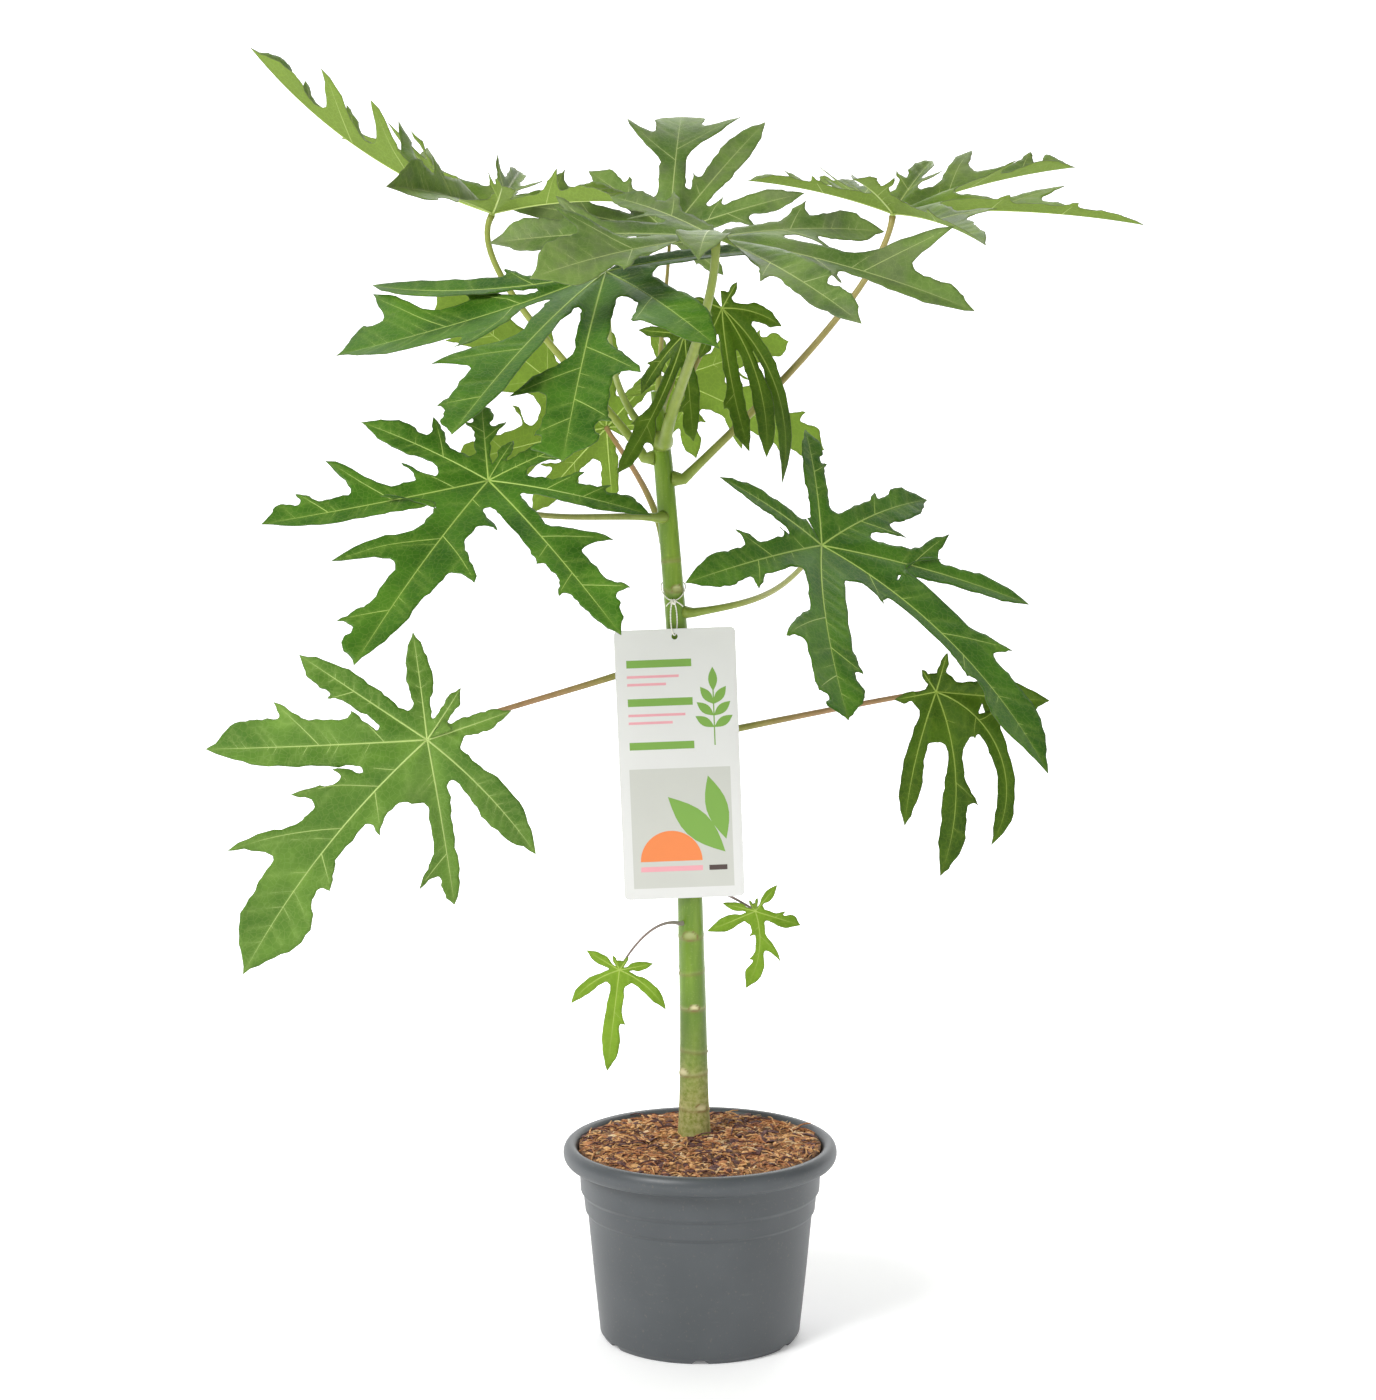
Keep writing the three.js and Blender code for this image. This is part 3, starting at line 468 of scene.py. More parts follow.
def chip_tree(paint, chips):
    """Throws copies of the chips over a surface, each turned and sized at random."""
    steps = Steps("throw_chips", Density=30000.0, Smallest=0.6, Largest=1.4, Tip=0.5, Seed=1)
    tip, seed = steps.number("Tip"), steps.number("Seed")
    spots = steps.node("GeometryNodeDistributePointsOnFaces", {"distribute_method": "RANDOM"}, {
        "Mesh": steps.number("Geometry"), "Density": steps.number("Density"), "Seed": seed})
    size = steps.node("FunctionNodeRandomValue", {"data_type": "FLOAT"}, {
        2: steps.number("Smallest"), 3: steps.number("Largest"), "Seed": seed})
    lean = steps.node("ShaderNodeCombineXYZ", None, {0: tip, 1: tip, 2: math.pi}).outputs[0]
    lean_back = steps.node("ShaderNodeVectorMath", {"operation": "SCALE"}, {0: lean, "Scale": -1.0})
    turn = steps.node("FunctionNodeRandomValue", {"data_type": "FLOAT_VECTOR"}, {
        0: lean_back.outputs[0], 1: lean, "Seed": seed})
    pile = steps.node("GeometryNodeCollectionInfo", None, {
        "Collection": chips, "Separate Children": True, "Reset Children": True})
    copies = steps.node("GeometryNodeInstanceOnPoints", None, {
        "Points": spots.outputs["Points"], "Instance": pile.outputs[0], "Pick Instance": True,
        "Rotation": turn.outputs[0], "Scale": size.outputs[1]})
    real = steps.node("GeometryNodeRealizeInstances", None, {"Geometry": copies.outputs[0]})
    coat = steps.node("GeometryNodeSetMaterial", None, {"Geometry": real.outputs[0],
                                                        "Material": paint.material})
    steps.tree.links.new(coat.outputs[0], steps.exit.inputs[0])
    return steps


def chip_paint(name, dark, light):
    """Fibrous matt brown between two browns."""
    paint = Paint(name, Roughness=0.85)
    fibres = paint.noise(500, 4, 0.6)
    paint.feed(Base_Color=paint.ramp(fibres, (0.35, linear(*dark)), (0.65, linear(*light))))
    return paint.bump(fibres, 0.6, 0.0008)


# Each kind of chip is (length, width, thickness, bow).
chip_kinds = [(7, 4.5, 2.2, 0.4), (11, 1.6, 1.1, 1.0), (5, 4.2, 2.6, 0.2), (17, 1.1, 0.8, 2.6),
              (8, 6, 1.4, 0.8)]
chips = bpy.data.collections.new("chips")
scene.collection.children.link(chips)
for index, chip_sizes in enumerate(chip_kinds):
    chip = chip_mesh(f"chip_{index}", *chip_sizes, seed=index + 3)
    scene.collection.objects.unlink(chip)
    chips.objects.link(chip)

# The chips land on an open disc that lies just under the mound's surface.
disc_reach, disc_rings, disc_sides, disc_sink = 92, 24, 72, 0.4
disc_line = [(0, 0)] + [(r, 0) for r in np.linspace(2, disc_reach, disc_rings)] + [(0, -1)]
disc_points, disc_faces = lathe(np.array(disc_line), disc_sides)
disc_points[:, 2] = mound(disc_points[:, 0], disc_points[:, 1]) - disc_sink
under_pole = disc_rings * disc_sides + 1
disc_shape = Shape(soil_paint)
disc_shape.add(disc_points, [face[::-1] for face in disc_faces if under_pole not in face])
# Each pile is (name, darkest and lightest brown, chips thrown on a square metre, largest size, seed).
chip_piles = [("dark_chips", (58, 36, 36), (112, 72, 64), 17000.0, 1.6, 3),
              ("red_chips", (136, 84, 50), (196, 134, 86), 30000.0, 1.3, 5),
              ("gold_chips", (176, 124, 74), (230, 182, 122), 36000.0, 1.2, 8),
              ("pale_splinters", (190, 154, 106), (236, 212, 172), 8000.0, 1.15, 11)]
for name, dark, light, density, largest, seed in chip_piles:
    pile = disc_shape.piece(name)
    steps = chip_tree(chip_paint(name, dark, light), chips)
    throw = pile.modifiers.new("throw", "NODES")
    throw.node_group = steps.tree
    numbers = {"Density": density, "Smallest": 0.4, "Largest": largest, "Tip": 0.42, "Seed": seed}
    for label, value in numbers.items():
        throw[steps.ids[label]] = value
    settled(pile)
    hand_in(pile, "substrate", "substrate")
for chip in list(chips.objects):
    bpy.data.objects.remove(chip)
bpy.data.collections.remove(chips)
hand_in(soil_piece, "substrate", "substrate")

# ------------------------------------------------------------------ stem
# One soft green stem, widest at the soil, that leans to the left as it rises. Old leaves have left
# rings and scars on it, and its foot has begun to turn to pale cork.
stem_base, stem_top = soil_crown + 0.3, 742
stem_length = stem_top - stem_base
stem_foot = (-4.6, 20)
lean_left, lean_front = 29, 8
foot_radius, neck_radius, tip_radius, foot_flare, neck_length = 11.2, 7.3, 4.2, 2.2, 60


def smooth(low, high, x):
    """0 below low, 1 above high, smooth between."""
    x = np.clip((x - low) / (high - low), 0, 1)
    return x * x * (3 - 2 * x)


def stem_at(z):
    """Middle of the stem at a height."""
    h = min(max((z - stem_base) / stem_length, 0), 1)
    return np.array([stem_foot[0] - lean_left * h ** 2, stem_foot[1] - lean_front * h, z])


def stem_radius(z):
    """Plain radius of the stem at a height."""
    h = z - stem_base
    neck = stem_length - neck_length
    plain = foot_radius + (neck_radius - foot_radius) * min(max(h / neck, 0), 1)
    plain += foot_flare * math.exp(-h / 24)
    return plain + (tip_radius - plain) * smooth(neck, stem_length, h)


def unit(v):
    """Vectors of the same ways, one long."""
    v = np.asarray(v, float)
    return v / np.linalg.norm(v, axis=-1, keepdims=True)


def tube(path, radii, sides):
    """Round limb with closed ends along a path, and how far along each of its points lies, from 0 to 1."""
    path = np.asarray(path, float)
    ways = unit(np.gradient(path, axis=0))
    side = unit(np.cross(ways[0], [0.31, 0.17, 0.93] if abs(ways[0][2]) < 0.9 else [1, 0, 0]))
    angles = np.arange(sides) * 2 * np.pi / sides
    points = []
    for centre, way, radius in zip(path, ways, radii):
        side = unit(side - way * np.dot(side, way))
        other = np.cross(way, side)
        points.append(centre + radius * (np.outer(np.cos(angles), side) + np.outer(np.sin(angles), other)))
    rings = len(path)
    faces = [(i * sides + j, i * sides + (j + 1) % sides, (i + 1) * sides + (j + 1) % sides,
              (i + 1) * sides + j) for i in range(rings - 1) for j in range(sides)]
    faces += [tuple(range(sides - 1, -1, -1)), tuple(range((rings - 1) * sides, rings * sides))]
    return np.vstack(points), faces, np.repeat(np.linspace(0, 1, rings), sides)


# Each scar is (height, compass way, how pale, size).
stem_scars = [(179, -60, 0.7, 5), (207, -140, 0.9, 5.5), (225, 5, 0.5, 4), (260, -84, 1.0, 4),
              (288, 170, 0.3, 5), (317, -97, 0.4, 6), (352, 10, 0.3, 5), (392, 200, 0.3, 5),
              (432, -20, 0.3, 5), (590, -70, 0.5, 4.5), (612, 100, 0.3, 4)]
scar_rim, scar_hollow, belt_rise = 0.5, 0.35, 0.3
stem_sides, stem_rings = 40, 420
stem_path = np.array([stem_at(z) for z in np.linspace(stem_base, stem_top, stem_rings)])
stem_points, stem_faces, _ = tube(stem_path, [1] * stem_rings, stem_sides)
stem_points = stem_points.reshape(stem_rings, stem_sides, 3)
stem_pale = np.zeros((stem_rings, stem_sides))
stem_brown = np.zeros((stem_rings, stem_sides))
# A scar is a pale hollow with a raised brown rim, and a thin belt runs on from it round the stem.
for ring, centre in enumerate(stem_path):
    ways = stem_points[ring] - centre
    compass = np.arctan2(ways[:, 1], ways[:, 0])
    z = centre[2]
    radius = np.full(stem_sides, stem_radius(z))
    radius += 0.22 * np.sin(3 * compass + z / 60) + 0.12 * np.sin(5 * compass - z / 23)
    for height, way, pale, size in stem_scars:
        turn = (compass - math.radians(way) + math.pi) % (2 * math.pi) - math.pi
        across = turn * radius / size
        up = (z - height - 0.25 * size * np.cos(across * 1.3)) / (0.62 * size)
        near = across ** 2 + up ** 2
        radius += scar_rim * np.exp(-((near - 1) / 0.45) ** 2) - scar_hollow * np.exp(-near * 2)
        stem_pale[ring] = np.maximum(stem_pale[ring], pale * np.exp(-(near / 0.8) ** 2))
        stem_brown[ring] = np.maximum(stem_brown[ring], 0.9 * np.exp(-((near - 1.05) / 0.22) ** 2))
        belt = (z - height + 1.2 * np.cos(turn)) / 1.3
        radius += belt_rise * np.exp(-belt ** 2)
        stem_brown[ring] = np.maximum(stem_brown[ring], 0.4 * np.exp(-(belt + 0.7) ** 2))
        stem_pale[ring] = np.maximum(stem_pale[ring], 0.3 * pale * np.exp(-(belt - 0.6) ** 2))
    stem_points[ring] = centre + ways * radius[:, None]
stem_points[0, :, 2] = stem_base

stem_paint = Paint("green_stem", Roughness=0.36, Specular_IOR_Level=0.42)
height = stem_paint.node("ShaderNodeSeparateXYZ", None, {0: stem_paint.place()}, out=2)
streaks = stem_paint.noise(90, 4, 0.6, stretch=(1, 1, 0.12))
specks = stem_paint.fade(stem_paint.noise(700, 2), 0.6, 0.7)
blotches = stem_paint.noise(38, 4, 0.6, stretch=(1, 1, 0.5))
stem_green = stem_paint.ramp(streaks, (0.3, linear(80, 112, 18)), (0.55, linear(102, 134, 28)),
                             (0.75, linear(126, 153, 44)))
stem_green = stem_paint.mix(specks * 0.25, stem_green, linear(150, 162, 84))
cork = stem_paint.fade(height * -1 + blotches * 0.09, -0.215, -0.11)
stem_green = stem_paint.mix(cork * 0.62, stem_green, stem_paint.ramp(
    stem_paint.noise(240, 5, 0.7), (0.35, linear(140, 136, 66)), (0.62, linear(214, 198, 142))))
stem_green = stem_paint.mix(stem_paint.mark("pale"), stem_green, linear(214, 204, 160))
stem_green = stem_paint.mix(stem_paint.mark("brown"), stem_green, linear(122, 92, 50))
stem_paint.feed(Base_Color=stem_green, Roughness=0.32 + cork * 0.4)
stem_paint.bump(streaks + cork * stem_paint.noise(400, 5, 0.7), 0.25, 0.0012)
stem_shape = Shape(stem_paint)
stem_shape.add(stem_points.reshape(-1, 3), stem_faces, pale=stem_pale.ravel(), brown=stem_brown.ravel())
hand_in(stem_shape.piece("stem_bark"), "stem", "stem")

# ------------------------------------------------------------------ leaves
# A papaya blade is a hand of lobes that spread from the top of its stalk, each cut again into side
# points with round notches between. The upper side is green with pale sunken veins, the underside
# pale with the same veins proud, and a thin purple-grey line runs round the margin.
#
# A leaf row gives the blade's hub, its face (compass way that it slopes down to, slope, turn of its
# middle lobe) and its size. Its stalk leaves the stem at the height stem, towards the compass way, or
# straight to the hub where none is given, and climbs at rise. sag is the share of its span that it
# keeps to that way, thin is its thickness, and tan is how brown it turns. web is the share of the
# lobes' length at which two of them part, and fold is how far each lobe's halves tip up.
# A lobe row is (angle to the left, share of the size, lift, more). turn bends it sideways, bend up or
# down, and twist rolls it. left and right are its side points, each (along, across, half width of the
# notch after it). waist is its half width before them, and end that of its last stretch, as shares of
# its length.
leaves = [
    dict(name="01", hub=(-62, -40, 302), face=(-90, 84, 0), size=82, stem=328, rise=20, sag=0.5, thin=0.4,
         web=0.22, finish="sprout", tan=1.0, lobes=[
        (-7, 0.97, -4, dict(left=[(0.52, 0.12, 0.06)], right=[], waist=0.07, end=0.09)),
        (-54, 0.57, -6, dict(turn=40, left=[], right=[], end=0.1)),
        (49, 0.58, 4, dict(turn=-40, left=[], right=[], end=0.1)),
        (-121, 0.36, 0, dict(end=0.14)),
        (101, 0.32, 0, dict(end=0.14)),
        (-155, 0.15, 0), (146, 0.15, 0)]),
    dict(name="02", hub=(43, 8, 338), face=(-90, 84, 0), size=70, stem=356, rise=-10, sag=0.3, thin=0.4,
         web=0.22, finish="sprout", tan=1.0, lobes=[
        (-8, 0.92, -8, dict(turn=-50, left=[(0.56, 0.27, 0.06)],
                            right=[(0.3, 0.12, 0.05), (0.62, 0.1, 0.05)])),
        (72, 0.54, -8, dict(left=[(0.6, 0.19, 0.1)], right=[], end=0.15)),
        (-66, 0.6, -12, dict(left=[], right=[], waist=0.09, end=0.13)),
        (-103, 0.38, -10, dict(left=[], right=[], end=0.12)),
        (140, 0.38, -8, dict(left=[], right=[], waist=0.05, end=0.13)),
        (-150, 0.14, 0), (172, 0.15, 0)]),
    dict(name="03", hub=(183, 20, 509), face=(-97, 86, 0), size=158, stem=475, rise=12, sag=0.3, web=0.32,
         finish="young", tan=1.0, lobes=[
        (1, 0.94, -2, dict(turn=-44, left=[(0.6, 0.12, 0.06)], right=[], waist=(0.05, 0.03), end=0.07)),
        (-12, 0.68, 4, dict(turn=14, left=[], right=[], waist=0.06, end=0.08)),
        (19, 0.92, 6, dict(turn=-104, left=[(0.38, 0.11, 0.05)], right=[(0.34, 0.09, 0.05)], end=0.045)),
        (86, 0.56, -6, dict(left=[], right=[(0.5, 0.14)], waist=0.2, end=0.16)),
        (-78, 0.21, 0), (-146, 0.13, 0), (165, 0.2, 0)]),
    dict(name="04", hub=(-206, -60, 484), face=(-75, 90, -38), size=222, stem=534, way=178, rise=-22,
         sag=0.25, web=0.27, finish="pale", tan=1.0, lobes=[
        (1, 1.04, -8, dict(turn=24, left=[(0.34, 0.11, 0.05), (0.6, 0.1, 0.06)],
                           right=[(0.28, 0.15, 0.11), (0.41, 0.21, 0.12), (0.65, 0.27, 0.12)], end=0.115)),
        (-50, 0.75, -12, dict(left=[], right=[(0.34, 0.16, 0.12), (0.68, 0.21, 0.13)], end=(0.09, 0.13))),
        (50, 0.68, -20, dict(left=[], right=[(0.82, 0.17, 0.05)], waist=0.06, end=0.05)),
        (80, 0.59, -8, dict(turn=-16, left=[], right=[], waist=0.09, end=0.11)),
        (-87, 0.52, -12, dict(left=[(0.69, 0.13, 0.09)], right=[], end=0.1)),
        (-137, 0.37, -12, dict(left=[], right=[], waist=0.1, end=0.12)),
        (144, 0.31, -4, dict(left=[], right=[], end=0.11)),
        (-176, 0.21, 0)]),
    dict(name="05", hub=(86, -170, 642), face=(-44, 48, 14), size=248, stem=572, way=-15, rise=10, sag=0.3,
         web=0.29, tan=0.3, lobes=[
        (0, 0.95, 4, dict(turn=-38, left=[(0.3, 0.26, 0.11), (0.61, 0.17, 0.09)],
                          right=[(0.27, 0.11, 0.05), (0.62, 0.08, 0.05)], end=0.1)),
        (-46, 0.74, 4, dict(turn=28, web=0.2, left=[(0.76, 0.12, 0.08)],
                            right=[(0.7, 0.23, 0.13), (0.91, 0.13, 0.08)])),
        (-98, 0.6, -2, dict(left=[(0.64, 0.15, 0.08)], right=[(0.26, 0.13, 0.08), (0.55, 0.17, 0.08)],
                            end=0.09)),
        (-141, 0.39, 8, dict(left=[], right=[], end=0.1)),
        (48, 0.71, 5, dict(left=[(0.61, 0.22, 0.05)], right=[], waist=0.09, end=0.06)),
        (87, 0.55, 2, dict(turn=-14, left=[(0.6, 0.11, 0.07)], right=[(0.55, 0.2, 0.09)], end=0.1)),
        (140, 0.44, 4, dict(left=[], right=[(0.7, 0.1, 0.06)], waist=0.08, end=0.1))]),
    dict(name="06", hub=(-75, 150, 705), face=(100, 75, 130), size=185, stem=625, rise=60, sag=0.3,
         finish="lit", tan=1.0, lobes=[
        (0, 1, -4), (-46, 0.74, -20), (46, 0.5, -8), (-88, 0.5, -8), (88, 0.34, -8), (-136, 0.36, -4),
        (136, 0.25, -4)]),
    dict(name="07", hub=(-152, -165, 688), face=(-94, 37, -23), size=219, stem=646, rise=8, sag=0.3,
         web=0.27, tan=0.3, lobes=[
        (3, 0.96, 2, dict(web=0.18, left=[(0.28, 0.17, 0.09), (0.55, 0.22, 0.11)],
                          right=[(0.28, 0.27, 0.08), (0.62, 0.28, 0.07), (0.86, 0.13, 0.07)], end=0.08)),
        (-48, 0.76, 2, dict(turn=-20, left=[],
                            right=[(0.34, 0.2, 0.08), (0.68, 0.27, 0.07), (0.84, 0.14, 0.07)], end=0.09)),
        (-94, 0.5, 6, dict(left=[], right=[(0.6, 0.27, 0.1)], end=0.12)),
        (-148, 0.37, 2, dict(left=[(0.74, 0.15, 0.09)], right=[(0.7, 0.21, 0.07)], waist=0.09)),
        (-176, 0.2, 2),
        (56, 0.9, 2, dict(web=0.21, left=[(0.6, 0.2, 0.08), (0.84, 0.13, 0.07)],
                          right=[(0.55, 0.09, 0.06), (0.74, 0.1, 0.06)], end=0.05)),
        (92, 0.59, 4, dict(left=[(0.52, 0.17, 0.09), (0.7, 0.12, 0.07)], right=[], waist=0.07, end=0.08)),
        (142, 0.39, 5, dict(left=[], right=[(0.62, 0.16, 0.09)]))]),
    dict(name="08", hub=(145, 0, 876), face=(0, 6, -22), size=205, stem=675, rise=45, sag=0.2, fold=30,
         web=0.28, finish="crown", thin=1.2, lobes=[
        (0, 0.95, 3, dict(left=[(0.62, 0.24, 0.09)], right=[(0.5, 0.12, 0.06), (0.76, 0.09, 0.05)],
                          end=0.05)),
        (45, 0.78, 18, dict(left=[(0.6, 0.32, 0.1), (0.84, 0.16, 0.07)], right=[(0.6, 0.2, 0.07)],
                            end=0.12)),
        (-45, 0.76, -6, dict(left=[(0.66, 0.24, 0.09)], right=[(0.6, 0.14, 0.06)], end=0.07)),
        (90, 0.45, 28, dict(left=[(0.55, 0.18, 0.07)], right=[(0.6, 0.26, 0.08)])),
        (-90, 0.5, 12, dict(left=[(0.6, 0.2, 0.07)], right=[(0.6, 0.2, 0.07)])),
        (138, 0.6, 8, dict(left=[(0.4, 0.2, 0.08), (0.7, 0.2, 0.07)], right=[(0.6, 0.2, 0.08)])),
        (-140, 0.58, 6, dict(left=[(0.64, 0.16, 0.08)], right=[(0.44, 0.2, 0.08), (0.72, 0.18, 0.07)]))]),
    dict(name="09", hub=(-159, 40, 876), face=(0, 31, 180), size=232, stem=691, rise=60, sag=0.2, fold=35,
         web=0.26, finish="crown", thin=1.2, tan=0.2, lobes=[
        (0, 0.97, 4, dict(bend=34, left=[(0.36, 0.3, 0.07), (0.55, 0.27, 0.06), (0.76, 0.25, 0.045)],
                          right=[(0.46, 0.26, 0.06), (0.64, 0.15, 0.05), (0.8, 0.1, 0.04)], end=0.1)),
        (60, 0.62, -8, dict(twist=-40, left=[(0.66, 0.2, 0.12)], right=[(0.6, 0.2, 0.1)], end=0.15)),
        (-38, 0.76, -5, dict(left=[(0.62, 0.22, 0.07)], right=[(0.66, 0.2, 0.07)], end=0.07)),
        (90, 0.42, 14, dict(left=[], right=[(0.6, 0.2, 0.08)])),
        (-88, 0.45, 20, dict(left=[(0.6, 0.24, 0.07)], right=[(0.6, 0.24, 0.07)], end=0.08)),
        (135, 0.56, 27, dict(left=[(0.4, 0.2, 0.08), (0.7, 0.2, 0.07)], right=[(0.6, 0.2, 0.08)])),
        (-138, 0.56, 30, dict(left=[(0.6, 0.2, 0.08)], right=[(0.42, 0.2, 0.08), (0.7, 0.2, 0.07)]))]),
    dict(name="10", hub=(10, -175, 860), face=(-98, 10, 0), size=190, stem=704, way=-80, rise=50, sag=0.2,
         fold=12, web=0.3, finish="dusty_sheen", thin=1.6, tan=0.1, lobes=[
        (0, 0.5, 0, dict(bend=-56, left=[], right=[], waist=0.2, end=0.2)),
        (43, 0.9, -12, dict(twist=40, left=[(0.7, 0.1, 0.05)], right=[(0.5, 0.13, 0.06)], end=0.07)),
        (-50, 0.8, -4, dict(twist=-50, left=[(0.6, 0.16, 0.1)], right=[(0.72, 0.3, 0.14)], end=0.14)),
        (90, 1.0, -16, dict(twist=50, left=[(0.82, 0.28, 0.06)], right=[(0.5, 0.14, 0.05)], end=0.06)),
        (-86, 0.85, -1, dict(twist=-50, left=[(0.56, 0.2, 0.09)], right=[(0.7, 0.2, 0.08)])),
        (128, 0.75, -5, dict(twist=55, left=[(0.6, 0.18, 0.08)], right=[(0.58, 0.22, 0.09)])),
        (-130, 0.6, 8, dict(twist=-30, left=[(0.6, 0.2, 0.08)], right=[(0.6, 0.2, 0.08)]))]),
    dict(name="11", hub=(-68, -150, 836), face=(-101, 21, -25), size=250, stem=712, way=190, rise=50,
         sag=0.25, web=0.27, tan=0.1, lobes=[
        (12, 1.0, -4, dict(left=[], right=[(0.73, 0.19, 0.08), (0.9, 0.09, 0.06)], waist=0.07, end=0.05)),
        (28, 0.9, -12, dict(left=[(0.64, 0.2, 0.11), (0.84, 0.13, 0.08)],
                            right=[(0.74, 0.19, 0.08), (0.9, 0.1, 0.07)], waist=0.11)),
        (-40, 0.84, -8, dict(turn=-56, left=[(0.6, 0.25, 0.15)],
                             right=[(0.5, 0.17, 0.12), (0.94, 0.36, 0.14)])),
        (68, 0.59, -5, dict(left=[], right=[(0.66, 0.26, 0.2)], waist=0.12, end=0.14)),
        (126, 0.58, 2, dict(left=[], right=[], waist=0.08, end=0.08)),
        (-68, 0.78, -4, dict(turn=-90, left=[], right=[(0.4, 0.13, 0.08)], waist=0.07, end=0.08))]),
    dict(name="12", hub=(-22, 130, 745), face=(90, 75, -65), size=135, stem=718, rise=60, sag=0.2,
         finish="lit", lobes=[
        (0, 1, -4), (-46, 0.74, -8), (46, 0.5, -30), (-88, 0.55, -8), (88, 0.4, -30), (-136, 0.36, -4),
        (136, 0.3, -4)]),
    dict(name="13", hub=(16, -25, 806), face=(-90, 82, 0), size=142, stem=722, way=25, rise=60, sag=0.35,
         thin=0.7, web=0.3, finish="young", lobes=[
        (11, 0.78, 4, dict(turn=14, left=[], right=[(0.68, 0.09, 0.06)], waist=0.075, end=0.06)),
        (16, 0.84, -6, dict(turn=-40, left=[], right=[], waist=0.06, end=0.06)),
        (18, 1.04, -12, dict(turn=-62, twist=70, left=[], right=[], waist=0.05, end=0.05)),
        (73, 0.34, -8, dict(turn=-40, left=[], right=[], waist=0.14, end=0.13)),
        (-24, 0.3, 8), (-110, 0.16, 0), (150, 0.16, 0)]),
    dict(name="14", hub=(-12, -8, 786), face=(-92, 84, 0), size=118, stem=734, way=-60, rise=75, sag=0.25,
         thin=0.7, web=0.26, finish="young", lobes=[
        (-26, 1.0, 2, dict(turn=-20, left=[(0.73, 0.1, 0.05)], right=[(0.68, 0.1, 0.06)], waist=0.06,
                           end=0.05)),
        (-36, 0.48, -6, dict(turn=20, left=[], right=[(0.6, 0.13, 0.08)], end=0.09)),
        (5, 0.69, 2, dict(left=[], right=[(0.72, 0.11, 0.07)], waist=0.07, end=0.09)),
        (-95, 0.3, 0), (52, 0.14, 0)]),
    dict(name="15", hub=(-24, 115, 860), face=(-90, 52, 180), size=150, stem=738, rise=80, sag=0.2, thin=0.7,
         web=0.3, finish="dusty_sheen", lobes=[
        (-4, 0.95, -10, dict(bend=-60, left=[(0.75, 0.3, 0.13)], right=[(0.88, 0.34, 0.13)], end=0.14)),
        (43, 0.64, -6, dict(left=[], right=[(0.66, 0.16, 0.1)], end=0.12)),
        (-32, 0.98, -6, dict(left=[(0.4, 0.1, 0.06)], right=[], waist=0.07, end=0.08)),
        (85, 0.95, 10, dict(left=[(0.5, 0.18, 0.08)], right=[(0.6, 0.16, 0.07)], end=0.08)),
        (-77, 0.74, 10, dict(left=[(0.44, 0.16, 0.08)], right=[(0.6, 0.18, 0.08)], end=0.1)),
        (-135, 0.4, 2), (135, 0.4, 2)]),
]


def cuts_for(share):
    """Side points of a lobe whose row gives none."""
    if share > 0.68:
        return [(0.56, 0.23), (0.8, 0.15)]
    if share > 0.45:
        return [(0.62, 0.22)]
    return [(0.66, 0.16)] if share > 0.36 else []


def turned(v, axis, angle):
    """A vector turned about an axis."""
    return (v * math.cos(angle) + np.cross(axis, v) * math.sin(angle)
            + axis * np.dot(axis, v) * (1 - math.cos(angle)))


def blade_axes(face):
    """Unit vectors along the middle lobe, to its left, and out of the blade's upper side."""
    a, s, spin = (math.radians(x) for x in face)
    down = np.array([math.cos(s) * math.cos(a), math.cos(s) * math.sin(a), -math.sin(s)])
    out = np.array([math.sin(s) * math.cos(a), math.sin(s) * math.sin(a), math.cos(s)])
    forward = turned(down, out, spin)
    return forward, np.cross(out, forward), out


def both_sides(value):
    """One value for the left side, 1, and the right one, -1, from a pair or from a single one."""
    left, right = value if isinstance(value, tuple) else (value, value)
    return {1: left, -1: right}


class Lobe:
    """One lobe: its sizes, and stations along its midrib with their axes."""

    steps = 24

    def __init__(self, leaf, angle, share, lift, more=None):
        more = more or {}
        self.root = angle - more.get("turn", 0) / 2
        self.length = share * leaf["size"]
        self.fold = math.radians(leaf.get("fold", 8))
        self.waist = both_sides(more.get("waist", 0.1))
        self.end = both_sides(more.get("end"))
        self.web = more.get("web")
        self.cuts = {1: more.get("left", cuts_for(share)), -1: more.get("right", cuts_for(share))}
        self.notch = {}
        self.half = {}
        bend = more.get("bend", -14)
        forward, left, out = blade_axes(leaf["face"])
        place = np.array(leaf["hub"], float)
        rows = []
        for k in range(self.steps + 1):
            u = k / self.steps
            turn = math.radians(angle + more.get("turn", 0) * (u - 0.5))
            rise = math.radians(lift + bend * (u - 0.5))
            flat = forward * math.cos(turn) + left * math.sin(turn)
            way = flat * math.cos(rise) + out * math.sin(rise)
            across = turned(np.cross(out, flat), way, math.radians(more.get("twist", 0) * u))
            rows.append((place, way, across, np.cross(way, across)))
            place = place + way * self.length / self.steps
        self.stations = [np.array(column) for column in zip(*rows)]

    def mixed(self, s):
        """Place and axes at any way along the midrib, mixed from the two stations beside it."""
        k = np.clip(np.asarray(s, float) / self.length * self.steps, 0, self.steps)
        low = np.minimum(np.floor(k).astype(int), self.steps - 1)
        part = (k - low)[..., None]
        place, way, across, out = (a[low] * (1 - part) + a[low + 1] * part for a in self.stations)
        return place, unit(way), unit(across), unit(out), k / self.steps

    def bent(self, s, t, up=0):
        """Where flat points of the lobe, along and across its midrib, go in space."""
        place, way, across, out, share = self.mixed(s)
        return (place + way * (s - share * self.length)[..., None]
                + across * (t * math.cos(self.fold))[..., None]
                + out * (np.abs(t) * math.sin(self.fold) + up)[..., None])


outer_notch, outer_half = 0.09, 35


